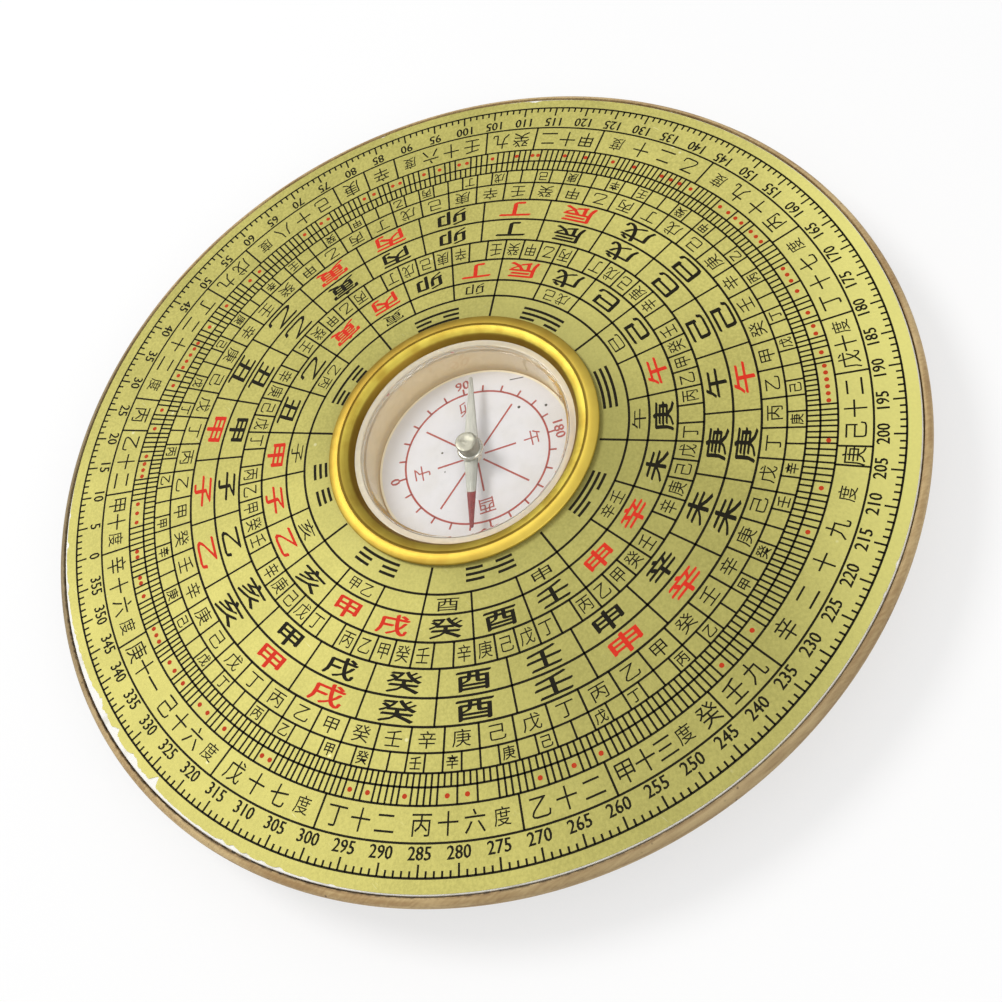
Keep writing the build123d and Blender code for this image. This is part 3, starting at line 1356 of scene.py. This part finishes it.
    def omen_spans(self) -> list[tuple[float, float, int]]:
        """The wide cells of the dotted ring, each moved to the nearest lines of the old division.

        Returns:
            For each cell the headings of its two ends and its number of dots.
        """
        drawn = self.uneven_degrees()
        spans = []
        for *ends, dots in self.omen_cells:
            first, last = (min(range(len(drawn)), key=lambda line: abs(drawn[line] - end)) for end in ends)
            spans.append((drawn[first], drawn[max(last, first + 1)], dots))
        return spans

    @staticmethod
    def divide(sheet: InkSheet, band: Band, headings: Iterable[float], width: float) -> None:
        """Print the lines between a ring's cells.

        Args:
            sheet: the sheet to print on.
            band: the ring.
            headings: where the lines stand.
            width: their width.
        """
        for heading in headings:
            sheet.spoke(heading, band.inner, band.outer, width)

    def print_lines(self) -> InkSheet:
        """Circles between the rings and lines between their cells.

        Returns:
            The sheet.
        """
        sheet = InkSheet(self.height)
        outer_bands = (self.degrees, self.mansions, self.omens, self.singles, self.thirds, self.sixties)
        inner_bands = (self.outer_signs, self.middle_signs, self.seventy_two, self.inner_signs, self.pairs)
        for band in outer_bands:
            sheet.circle(band.outer, self.line)
        for band in (*inner_bands, self.trigrams):
            sheet.circle(band.outer, self.bold_line)
        for degree in range(360):
            reach = self.short_tick if degree % 5 else self.long_tick
            heading = degree + self.scale_turn
            sheet.spoke(heading, self.degrees.outer - reach, self.degrees.outer, self.fine_line)
        lined = (start for start in self.mansion_starts if start not in self.unlined_starts)
        self.divide(sheet, self.mansions, lined, self.line)
        drawn = self.uneven_degrees()
        spans = self.omen_spans()
        kept = [line for line in drawn if not any(start < line < end for start, end, _ in spans)]
        self.divide(sheet, self.omens, kept, self.fine_line)
        self.divide(sheet, self.singles, drawn, self.fine_line)
        self.divide(sheet, self.thirds, around(120, 1.0), self.fine_line)
        self.divide(sheet, self.sixties, around(60, 1.0), self.line)
        self.divide(sheet, self.outer_signs, around(24), self.line)
        self.divide(sheet, self.middle_signs, around(24), self.line)
        sheet.turn = self.core_turn
        self.divide(sheet, self.seventy_two, around(72, 2.5), self.line)
        self.divide(sheet, self.inner_signs, around(24, 7.5), self.line)
        self.divide(sheet, self.pairs, around(24, 7.5), self.line)
        self.divide(sheet, self.trigrams, around(8, 22.5), self.bold_line)
        return sheet

    def print_degrees(self) -> InkSheet:
        """Numbers at every fifth degree.

        Returns:
            The sheet.
        """
        sheet = InkSheet(self.height, turn=self.scale_turn)
        for degree in range(0, 360, 5):
            place = sheet.place(degree, self.figure_radius)
            sheet.figures(str(degree), place, self.figure_height, self.figure_share)
        return sheet

    def print_mansions(self) -> InkSheet:
        """An ordinal sign and the cell's width in each cell of the unequal ring.

        Returns:
            The sheet.
        """
        sheet = InkSheet(self.height)
        ends = (*self.mansion_starts[1:], 360)
        for cell, (start, end) in enumerate(zip(self.mansion_starts, ends)):
            words = STEMS[cell % len(STEMS)] + in_numerals(round(end - start)) + DEGREE
            fitting = max(1, min(len(words), int((end - start) / self.least_pitch)))
            words = words[:fitting]
            pitch = min((end - start) / (len(words) + self.end_share), self.widest_pitch)
            for index, character in enumerate(words):
                heading = (start + end) / 2 + ((len(words) - 1) / 2 - index) * pitch
                share = self.degree_share if character == DEGREE else 1.0
                width, height = (size * share for size in self.mansion_size)
                sheet.sign(character, sheet.place(heading, self.mansions.middle), width, height)
        return sheet

    def print_small_signs(self) -> InkSheet:
        """Stems in the rings of 120, 60 and 72 cells.

        Returns:
            The sheet.
        """
        sheet = InkSheet(self.height)
        for index in range(24):
            for step, start in enumerate((1, 10)):
                place = sheet.place(start + 15 * index + 1.5, self.thirds.middle)
                sheet.sign(STEMS[(2 * index + step) % len(STEMS)], place, *self.tiny_size, self.tiny_weight)
        for index, heading in enumerate(around(60, 4.0)):
            place = sheet.place(heading, self.sixties.middle)
            sheet.sign(STEMS[index % len(STEMS)], place, *self.small_size)
        sheet.turn = self.core_turn
        filled = (cell for cell in range(72) if cell % 6 != 3)
        for index, cell in enumerate(filled):
            place = sheet.place(5 * cell, self.seventy_two.middle)
            sheet.sign(STEMS[index % len(STEMS)], place, *self.slim_size)
        return sheet

    def print_large_signs(self, red: bool) -> InkSheet:
        """The bold signs of one colour in the rings of 24 cells.

        Args:
            red: True for the red ones, False for the black ones.

        Returns:
            The sheet.
        """
        sheet = InkSheet(self.height)
        cells = [cell for cell in range(24) if (cell in self.red_cells) == red]
        self.fill(sheet, self.outer_signs, cells, 7.5, self.outer_size)
        self.fill(sheet, self.middle_signs, () if red else range(24), 7.5, self.middle_size)
        sheet.turn = self.core_turn
        self.fill(sheet, self.inner_signs, cells, 0.0, self.inner_size)
        if not red:
            self.print_pairs(sheet)
        return sheet

    @staticmethod
    def fill(sheet: InkSheet, band: Band, cells: Iterable[int], start: float, size: Size) -> None:
        """Print bold signs in some of a ring's 24 cells.

        Args:
            sheet: the sheet to print on.
            band: the ring.
            cells: the numbers of the cells.
            start: the heading of the middle of cell 0.
            size: the width and height of the signs.
        """
        for cell in cells:
            sheet.bold_sign(ordinal(cell), sheet.place(start + 15 * cell, band.middle), *size)

    def print_pairs(self, sheet: InkSheet) -> None:
        """Every other cell of the innermost ring of signs: one wide sign or two narrow ones.

        Args:
            sheet: the sheet to print on.
        """
        for index, heading in enumerate(around(12, 15.0)):
            if heading % 90 != 45:
                sheet.sign(BRANCHES[index], sheet.place(heading, self.pairs.middle), *self.wide_size)
                continue
            for side in (0, 1):
                place = sheet.place(heading + self.paired_pitch * (0.5 - side), self.pairs.middle)
                sheet.sign(STEMS[(index + side) % len(STEMS)], place, *self.paired_size)

    def print_trigrams(self) -> InkSheet:
        """Three bars in each of the eight inner cells.

        Returns:
            The sheet.
        """
        sheet = InkSheet(self.height, turn=self.core_turn)
        for index, trigram in enumerate(Trigram):
            for row, unbroken in enumerate(trigram.value):
                radius, middle = self.outermost_bar - row * self.bar_pitch, 45 * index
                left, right = middle - self.bar_reach, middle + self.bar_reach
                if unbroken:
                    sheet.arc(left, right, radius, self.bar_width)
                    continue
                sheet.arc(left, middle - self.bar_opening, radius, self.bar_width, 4)
                sheet.arc(middle + self.bar_opening, right, radius, self.bar_width, 4)
        return sheet

    def print_omens(self) -> InkSheet:
        """Red dots in the cells that hold them.

        Returns:
            The sheet.
        """
        sheet = InkSheet(self.height)
        for start, end, dots in self.omen_spans():
            for index in range(dots):
                heading = start + (end - start) * (index + 0.5) / dots
                sheet.dot(sheet.place(heading, self.omens.middle), self.dot_diameter)
        return sheet


@dataclass
class WoodenBase:
    """The turned disc: domed underside on a flat foot, half-round rim, rebate and stepped well."""

    foot_radius: float = 38.0
    foot_chamfer: float = 0.4
    nose_radius: float = 1.2
    nose_turn: float = 12.0
    lip_width: float = 1.0
    case_clearance: float = 0.1
    dome_chords: int = 40
    nose_chords: int = 20
    finish: TurnedWood = TurnedWood()

    def build(self) -> None:
        """Turn the disc."""
        disc, board, case = (Reach.of(node) for node in ("wood_base", "dial_board", "capsule_case"))
        face = Reach.of("dial_foil").top
        nose = (disc.radius - self.nose_radius, face - self.nose_radius)
        lean = math.atan2(nose[1], nose[0] - self.foot_radius) + math.radians(self.nose_turn)
        lower = (nose[0] + self.nose_radius * math.sin(lean), nose[1] - self.nose_radius * math.cos(lean))
        rebate = disc.radius - self.lip_width
        lip_drop = self.nose_radius - math.sqrt(self.nose_radius**2 - (rebate - nose[0]) ** 2)
        bore = cup_wall()[1] + self.case_clearance
        flange_bottom = Reach.of("capsule_lid").bottom - FLANGE_FLOOR
        outline = Outline((0.0, 0.0), (self.foot_radius - self.foot_chamfer, 0.0))
        outline.lines((self.foot_radius, self.foot_chamfer))
        outline.arc(self.dome_middle(lower), lower, self.dome_chords)
        outline.arc((disc.radius, nose[1]), (rebate, face - lip_drop), self.nose_chords)
        outline.lines((rebate, board.bottom), (WELL_RADIUS, board.bottom), (WELL_RADIUS, flange_bottom))
        outline.lines((bore, flange_bottom), (bore, case.bottom), (0.0, case.bottom))
        finish_piece(outline.turned(), "turned_base", self.finish, "turned_wood", "wood_base")

    def dome_middle(self, lower: tuple[float, float]) -> tuple[float, float]:
        """A point half way along the underside's arc, whose centre is on the axis.

        Args:
            lower: where the arc meets the rim.

        Returns:
            The point's radius and height.
        """
        start = (self.foot_radius, self.foot_chamfer)
        reach = lower[0] ** 2 + lower[1] ** 2 - start[0] ** 2 - start[1] ** 2
        centre = reach / (2 * (lower[1] - start[1]))
        sweep = math.hypot(start[0], centre - start[1])
        turn = (math.atan2(start[0], centre - start[1]) + math.atan2(lower[0], centre - lower[1])) / 2
        return sweep * math.sin(turn), centre - sweep * math.cos(turn)


@dataclass
class PrintedDial:
    """The board let into the disc and the worn film on it."""

    edge_ease: float = 0.2
    film_steps: int = 1440
    rim_width: float = 0.1
    board_finish: WhiteBoard = WhiteBoard()
    film_finish: GoldFilm = GoldFilm()
    wear: tuple[tuple[float, float], ...] = (
        (0, 0.18), (15, 0.05), (100, 0.04), (112, 0.12), (120, 0.06), (200, 0.0), (290, 0.0),
        (302, 0.1), (312, 0.12), (321.5, 0.2), (324.5, 0.4), (331, 0.42), (336, 0.6), (340, 0.62),
        (348, 0.42), (354, 0.26), (360, 0.18),
    )
    flakes: tuple[tuple[float, float, float], ...] = (
        (328.4, 1.9, 0.5), (323.7, 0.8, 1.15), (333.1, 0.9, 0.65), (338.6, 1.4, 0.4), (336.2, 0.5, 0.15),
        (311.0, 0.9, 0.22), (309.0, 1.0, 0.26), (307.0, 0.7, 0.18), (304.8, 0.8, 0.2), (302.4, 0.9, 0.22),
        (314.6, 0.6, 0.12), (299.0, 0.7, 0.12), (295.5, 0.6, 0.1), (357.0, 0.8, 0.15), (3.5, 0.9, 0.2),
        (8.0, 0.6, 0.15), (87.0, 0.8, 0.14), (111.5, 1.2, 0.24), (217.0, 0.7, 0.14), (221.0, 0.5, 0.16),
    )

    def build(self) -> None:
        """Cut the board and the film."""
        board, film = Reach.of("dial_board"), Reach.of("dial_foil")
        solid = Outline.flat_ring(WELL_RADIUS, board, self.edge_ease).turned()
        finish_piece(solid, "printed_board", self.board_finish, "white_board", "dial_board")
        solid = Outline.flat_ring(WELL_RADIUS, film).turned(self.film_steps)
        rim = [corner for corner in solid.verts if corner.co.xy.length > film.radius - self.rim_width]
        for corner in rim:
            corner.co.xy *= 1 - self.chip(corner.co) / film.radius
        finish_piece(solid, "gold_film", self.film_finish, "gold_foil", "dial_foil")

    def chip(self, corner: Vector) -> float:
        """How far the film has flaked back from its edge, in millimetres.

        Args:
            corner: a point on the film's edge.

        Returns:
            The flake's depth there.
        """
        heading = math.degrees(math.atan2(corner.x, corner.y)) % 360
        depth = 0.0
        for (start, low), (end, high) in zip(self.wear, self.wear[1:]):
            if start <= heading <= end:
                depth = low + (high - low) * (heading - start) / (end - start)
        for middle, half_width, bite in self.flakes:
            share = min(1.0, abs(math.remainder(heading - middle, 360)) / half_width)
            depth += bite * (1 - share**2) ** 2
        coarse, fine = (noise.noise(Vector((corner.x, corner.y, 0.0)) * scale) for scale in (1.3, 3.7))
        return depth * (1 + 0.35 * coarse + 0.3 * fine)


@dataclass
class GoldRing:
    """The ring that holds the capsule: two bands that fall away from a groove, on a thin skirt."""

    window_radius: float = 15.45
    skirt_inner: float = 15.9
    skirt_outer: float = 16.4
    undercut_width: float = 0.5
    undercut_height: float = 0.4
    edge_height: float = 0.7
    inner_height: float = 0.6
    inner_slope: float = 0.55
    band_fall: float = 0.07
    outer_fall_share: float = 0.8
    inner_fall_share: float = 0.4
    groove_half_width: float = 0.16
    groove_depth: float = 0.15
    groove_share: float = 0.54
    outer_chords: int = 16
    groove_chords: int = 8
    inner_chords: int = 14
    crease: float = 50.0
    ease: float = 0.1
    sliver: float = 0.003
    finish: GoldMetal = GoldMetal()

    def build(self) -> None:
        """Turn the ring."""
        ring, face = Reach.of("bezel_ring"), Reach.of("dial_foil").top
        lid_top = Reach.of("capsule_lid").top
        width = ring.radius - self.window_radius
        shares = (self.inner_fall_share, self.groove_share, self.outer_fall_share)
        inner_middle, groove, outer_middle = (self.window_radius + share * width for share in shares)
        crest = ring.top - self.sliver
        fallen = ring.top - self.band_fall
        outline = Outline((self.window_radius, lid_top), (self.skirt_inner, lid_top))
        outline.lines((self.skirt_inner, ring.bottom), (self.skirt_outer, ring.bottom))
        outline.lines((self.skirt_outer, face), (ring.radius - self.undercut_width, face))
        outline.lines((ring.radius, face + self.undercut_height, self.ease))
        outline.lines((ring.radius, face + self.edge_height, self.ease))
        outer_lip, inner_lip = groove + self.groove_half_width, groove - self.groove_half_width
        inner_edge = (self.window_radius + self.inner_slope, face + self.inner_height)
        outline.arc((outer_middle, fallen), (outer_lip, crest), self.outer_chords)
        outline.arc((groove, ring.top - self.groove_depth), (inner_lip, crest), self.groove_chords)
        outline.arc((inner_middle, fallen), inner_edge, self.inner_chords)
        solid = outline.turned()
        finish_piece(solid, "gold_ring", self.finish, "gold_ring", "bezel_ring", crease=self.crease)


@dataclass
class Capsule:
    """The clear cup and its window, and the printed card inside."""

    lid_clearance: float = 0.05
    floor: float = 1.0
    boss_radius: float = 0.85
    boss_height: float = 0.9
    pin_radius: float = 0.35
    pin_cover: float = 0.4
    ease: float = 0.12
    fine_ease: float = 0.06
    sliver: float = 0.01
    crease: float = 12.0
    lid_steps: int = 240
    card_steps: int = 180
    circle_steps: int = 120
    notch_size: tuple[float, float, float] = (0.5, 0.6, 0.8)
    notch_headings: tuple[float, ...] = (49.6, 93.5)
    print_shift: tuple[float, float, float] = (0.15, -0.155, 0.0)
    circle_radius: float = 10.3
    circle_line: float = 0.28
    line: float = 0.26
    tick_end: float = 11.3
    spoke_start: float = 1.15
    short_spoke_end: float = 5.7
    long_spoke_end: float = 8.95
    figure_radius: float = 11.95
    figure_height: float = 1.38
    figure_share: float = 1.08
    sign_radius: float = 8.0
    sign_size: float = 2.6
    hair_place: tuple[float, float] = (127.5, 13.04)
    hair_turn: float = 29.0
    hair_size: Size = (2.0, 0.14)
    specks: tuple[tuple[float, float, float], ...] = (
        (142.6, 9.26, 0.42), (157.8, 11.97, 0.4), (27.3, 5.08, 0.32), (350.8, 4.7, 0.2),
    )
    case_finish: ClearPlastic = ClearPlastic(scuff_share=0.06, core_share=0.85)
    lid_finish: ClearPlastic = ClearPlastic(scuff_share=0.02)
    card_finish: WhiteCard = WhiteCard()
    card_ink: PrintInk = PrintInk(tint(178, 74, 62), tint(202, 120, 108))
    speck_ink: PrintInk = PrintInk(tint(70, 62, 52), tint(150, 140, 110))

    def build(self) -> None:
        """Mould the cup and the window, cut the card and print it."""
        self.mould_case()
        self.mould_lid()
        self.cut_card()
        self.print_card()

    def mould_case(self) -> None:
        """The flanged cup with the pin's boss."""
        case, lid = Reach.of("capsule_case"), Reach.of("capsule_lid")
        rabbet = lid.radius + self.lid_clearance
        inner, outer = cup_wall()
        flange_bottom = lid.bottom - FLANGE_FLOOR
        floor_top = case.bottom + self.floor
        boss_top = floor_top + self.boss_height
        pin_bottom = case.bottom + self.pin_cover
        outline = Outline((0.0, case.bottom), (outer, case.bottom, self.ease), (outer, flange_bottom))
        outline.lines((case.radius, flange_bottom, self.fine_ease), (case.radius, case.top, self.fine_ease))
        outline.lines((rabbet, case.top, self.ease), (rabbet, lid.bottom))
        outline.lines((inner, lid.bottom, self.fine_ease), (inner, floor_top), (self.boss_radius, floor_top))
        outline.lines((self.boss_radius, boss_top, self.ease), (self.pin_radius, boss_top))
        outline.lines((self.pin_radius, pin_bottom), (0.0, pin_bottom))
        self.finish(outline.turned(), "clear_cup", self.case_finish, "capsule_case")

    def mould_lid(self) -> None:
        """The window with its two small notches."""
        lid = Reach.of("capsule_lid")
        underside = lid.bottom + self.sliver
        outline = Outline((0.0, underside), (lid.radius, underside, self.fine_ease))
        outline.lines((lid.radius, lid.top, self.ease), (0.0, lid.top))
        cutter = bmesh.new()
        for heading in self.notch_headings:
            place = spot(heading, lid.radius, lid.top) @ Matrix.Diagonal((*self.notch_size, 1.0))
            bmesh.ops.create_cube(cutter, size=1.0, matrix=place)
        solid = carved(outline.turned(self.lid_steps), cutter)
        self.finish(solid, "clear_window", self.lid_finish, "capsule_lid")

    def finish(self, solid: bmesh.types.BMesh, name: str, finish: ClearPlastic, node: str) -> None:
        """Finish a clear piece, whose edges are sharper than the other pieces' edges."""
        finish_piece(solid, name, finish, "clear_plastic", node, crease=self.crease)

    def cut_card(self) -> None:
        """The card with a hole round the boss."""
        outline = Outline.flat_ring(self.boss_radius + self.sliver, Reach.of("compass_card"))
        solid = outline.turned(self.card_steps)
        finish_piece(solid, "white_card", self.card_finish, "white_card", "compass_card")

    def print_card(self) -> None:
        """A red degree circle with ticks, eight spokes, four numbers and four signs."""
        sheet = InkSheet(Reach.of("compass_card").top)
        sheet.circle(self.circle_radius, self.circle_line, self.circle_steps)
        for heading in around(24):
            sheet.spoke(heading, self.circle_radius, self.tick_end, self.line)
        for heading in range(0, 360, 90):
            sheet.spoke(heading, self.spoke_start, self.short_spoke_end, self.line)
            sheet.spoke(heading + 45, self.spoke_start, self.long_spoke_end, self.line)
            place = sheet.place(heading, self.figure_radius, True)
            sheet.figures(str(heading), place, self.figure_height, self.figure_share)
            place = sheet.place(heading, self.sign_radius, True)
            sheet.sign(BRANCHES[heading // 30], place, self.sign_size, self.sign_size)
        bmesh.ops.translate(sheet.flat, vec=self.print_shift, verts=sheet.flat.verts)
        finish_piece(sheet.raised(), "card_print", self.card_ink, "white_card")
        specks = InkSheet(Reach.of("compass_card").top)
        for heading, radius, size in self.specks:
            specks.dot(specks.place(heading, radius), size)
        turn = Matrix.Rotation(math.radians(self.hair_turn), 4, "Z")
        specks.bar(specks.place(*self.hair_place) @ turn, *self.hair_size)
        finish_piece(specks.raised(), "card_specks", self.speck_ink, "white_card")


@dataclass
class Needle:
    """The magnetic needle: blade, riveted bush, cap and bearing."""

    root_width: float = 2.15
    tip_width: float = 0.5
    tip_corners: int = 16
    eye_radius: float = 1.5
    eye_corners: int = 48
    flange_radius: float = 1.85
    flange_height: float = 0.6
    dome_radius: float = 0.35
    spigot_radius: float = 1.1
    shank_radius: float = 0.95
    rivet_radius: float = 1.2
    cap_roof: float = 0.2
    cap_ease: float = 0.15
    dimple_radius: float = 0.85
    dimple_depth: float = 0.05
    dish_share: float = 0.9
    edge_bevel: float = 0.05
    hub_steps: int = 96
    dish_chords: int = 6
    blade_finish: NeedlePaint = NeedlePaint()
    bush_finish: TurnedMetal = TurnedMetal()
    cap_finish: TurnedMetal = TurnedMetal(tint(158, 155, 139), tint(114, 111, 97), 0.4, 0.7)

    def build(self) -> None:
        """Cut the blade and turn the hub's two pieces."""
        self.cut_blade()
        self.turn_bush()
        self.turn_cap()

    def cut_blade(self) -> None:
        """A flat lozenge with rounded tips and a round eye, its edges eased."""
        low, high = (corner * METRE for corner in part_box("needle_blade"))
        tip = self.tip_width / 2
        reach = math.hypot(high.x - tip, high.y - tip)
        thickness = high.z - low.z
        flat = bmesh.new()
        sides = []
        for side in (1, -1):
            place = Matrix.Translation((side * reach, 0.0, 0.0)) @ Matrix.Rotation(math.radians(90), 4, "Z")
            tips = bmesh.ops.create_circle(flat, segments=self.tip_corners, radius=tip, matrix=place)
            sides += tips["verts"]
        sides += [flat.verts.new((0.0, side * self.root_width / 2, 0.0)) for side in (1, -1)]
        hull = bmesh.ops.convex_hull(flat, input=sides)
        bmesh.ops.delete(flat, geom=hull["geom_interior"], context="VERTS")
        bmesh.ops.dissolve_limit(flat, angle_limit=0.01, verts=flat.verts, edges=flat.edges)
        raise_faces(flat, thickness)
        bmesh.ops.create_cone(
            flat,
            cap_ends=True,
            segments=self.eye_corners,
            radius1=self.eye_radius,
            radius2=self.eye_radius,
            depth=thickness,
            matrix=Matrix.Translation((0.0, 0.0, thickness / 2)),
        )
        bmesh.ops.recalc_face_normals(flat, faces=flat.faces)
        rims = [edge for edge in flat.edges if edge.calc_face_angle(0.0) > math.radians(60)]
        bmesh.ops.bevel(
            flat, geom=rims, offset=self.edge_bevel, segments=2, profile=0.5, affect="EDGES", material=-1
        )
        turn = Matrix.Rotation(math.radians(90 - NEEDLE_HEADING), 4, "Z")
        bmesh.ops.transform(flat, matrix=Matrix.Translation((0.0, 0.0, low.z)) @ turn, verts=flat.verts)
        self.finish(flat, "blade", self.blade_finish, "needle_steel", "needle_blade")

    @staticmethod
    def finish(solid: bmesh.types.BMesh, name: str, finish: Finish, slot: str, node: str) -> None:
        """Finish a piece that turns with the needle."""
        finish_piece(solid, name, finish, slot, node, body=Body.NEEDLE)

    def turn_bush(self) -> None:
        """The lower tier: rivet, shank, domed flange and spigot."""
        bush, blade = Reach.of("needle_bush"), Reach.of("needle_blade")
        jewel = Reach.of("bearing_jewel")
        flange_top = blade.top + self.flange_height
        outline = Outline((jewel.radius, bush.top), (jewel.radius, bush.bottom))
        outline.lines((self.rivet_radius, bush.bottom, self.edge_bevel), (self.rivet_radius, blade.bottom))
        outline.lines((self.shank_radius, blade.bottom), (self.shank_radius, blade.top))
        outline.lines((self.flange_radius, blade.top, self.edge_bevel))
        outline.lines((self.flange_radius, flange_top, self.dome_radius))
        outline.lines((self.spigot_radius, flange_top), (self.spigot_radius, bush.top))
        self.finish(outline.turned(self.hub_steps), "bush", self.bush_finish, "hub_metal", "needle_bush")

    def turn_cap(self) -> None:
        """The upper tier: a closed cup with a dished roof."""
        cap = Reach.of("needle_cap")
        roof = cap.top - self.cap_roof
        dish = cap.top - self.dimple_depth
        outline = Outline((0.0, roof), (self.spigot_radius, roof), (self.spigot_radius, cap.bottom))
        outline.lines((cap.radius, cap.bottom, self.edge_bevel), (cap.radius, cap.top, self.cap_ease))
        outline.lines((self.dimple_radius + self.dimple_depth, cap.top))
        half_way = (self.dimple_radius / 2, cap.top - self.dimple_depth * self.dish_share)
        outline.arc(half_way, (0.0, dish), self.dish_chords)
        self.finish(outline.turned(self.hub_steps), "cap", self.cap_finish, "hub_metal", "needle_cap")


@dataclass(frozen=True)
class PaleFloor(Finish):
    """A pale floor that reads as white but keeps the compass's shadow."""

    colour: Colour = (0.9, 0.9, 0.9, 1.0)
    glow_share: float = 0.6

    def apply(self, paint: Paint) -> None:
        """A share of plain white for the eye and for what glass and metal show.

        Args:
            paint: the nodes of the finish's material.
        """
        lit = paint.shader("ShaderNodeBsdfDiffuse", Color=self.colour)
        white = paint.shader("ShaderNodeEmission", Color=WHITE, Strength=1.0)
        seen = paint.rays("Is Camera Ray", "Is Glossy Ray", "Is Transmission Ray")
        paint.show(paint.mixed(seen * self.glow_share, lit, white))


@dataclass
class Studio:
    """The floor, the lamps and the camera."""

    frame_width: float = 1002.0
    focal_pixels: float = 1280.0
    principal: tuple[float, float] = (558.6, 478.2)
    camera_place: tuple[float, float, float] = (-94.35, -31.33, 148.31)
    camera_turn: tuple[float, float, float] = (28.455, 15.041, -102.070)
    sensor: float = 36.0
    floor_half: float = 1500.0
    overhead: Colour = (0.8, 0.8, 0.8, 1.0)
    horizon: Colour = (0.16, 0.16, 0.16, 1.0)
    lamps: tuple[tuple[str, tuple[float, float, float], float, float], ...] = (
        ("key", (273.0, 331.0, 600.0), 300.0, 2.5),
        ("fill", (-420.0, -260.0, 420.0), 400.0, 1.0),
    )

    def build(self) -> None:
        """Set the floor, the light and the camera."""
        self.lay_floor()
        self.light_world()
        for name, place, size, power in self.lamps:
            self.hang_lamp(name, Vector(place), size, power)
        self.set_camera()
        bpy.context.scene.view_settings.view_transform = "Standard"

    def lay_floor(self) -> None:
        """A large flat floor under the foot."""
        flat = bmesh.new()
        bmesh.ops.create_grid(flat, x_segments=1, y_segments=1, size=self.floor_half / METRE)
        mesh = as_mesh(flat, "floor")
        mesh.materials.append(material_of(PaleFloor()))
        add_object("floor", mesh)

    def light_world(self) -> None:
        """A pale sky, brightest overhead, that the eye sees as white."""
        world = bpy.data.worlds.new("studio")
        bpy.context.scene.world = world
        paint = Paint(world, "ShaderNodeOutputWorld")
        direction = paint.node("ShaderNodeTexCoord").outputs["Generated"]
        height = paint.node("ShaderNodeSeparateXYZ", {}, {0: direction}).outputs["Z"]
        sky = paint.blend(height, self.horizon, self.overhead)
        seen = paint.blend(paint.rays("Is Camera Ray"), sky, WHITE)
        paint.show(paint.shader("ShaderNodeBackground", Color=seen))

    @staticmethod
    def hang_lamp(name: str, place: Vector, size: float, power: float) -> None:
        """Hang a soft round lamp that faces the dial.

        Args:
            name: its name.
            place: where it hangs, in millimetres.
            size: its diameter in millimetres.
            power: its power in watts.
        """
        light = bpy.data.lights.new(name, "AREA")
        light.shape = "DISK"
        light.size = size / METRE
        light.energy = power
        lamp = add_object(name, light)
        lamp.location = place / METRE
        lamp.rotation_euler = (-place).to_track_quat("-Z", "Y").to_euler()

    def set_camera(self) -> None:
        """Stand the camera at the photograph's viewpoint."""
        data = bpy.data.cameras.new("camera")
        data.sensor_width = self.sensor
        data.sensor_fit = "HORIZONTAL"
        data.lens = self.focal_pixels / self.frame_width * self.sensor
        middle = self.frame_width / 2
        data.shift_x = (middle - self.principal[0]) / self.frame_width
        data.shift_y = (self.principal[1] - middle) / self.frame_width
        data.clip_start = 0.01
        camera = add_object("camera", data)
        camera.location = Vector(self.camera_place) / METRE
        camera.rotation_euler = Euler([math.radians(turn) for turn in self.camera_turn])
        bpy.context.scene.camera = camera


def main() -> None:
    """Load the frame, dress the compass and light it."""
    logging.basicConfig(level=logging.INFO, format="%(name)s: %(message)s")
    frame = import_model()
    WoodenBase().build()
    PrintedDial().build()
    DialPrint(Reach.of("dial_foil").top).build()
    GoldRing().build()
    Capsule().build()
    Needle().build()
    dressed = {"pivot_pin": TurnedMetal(metal=0.3), "bearing_jewel": PolishedJewel()}
    for node, finish in dressed.items():
        mesh = frame["nodes"][node].data
        mesh.materials.clear()
        mesh.materials.append(material_of(finish))
    Studio().build()


if __name__ == "__main__":
    main()
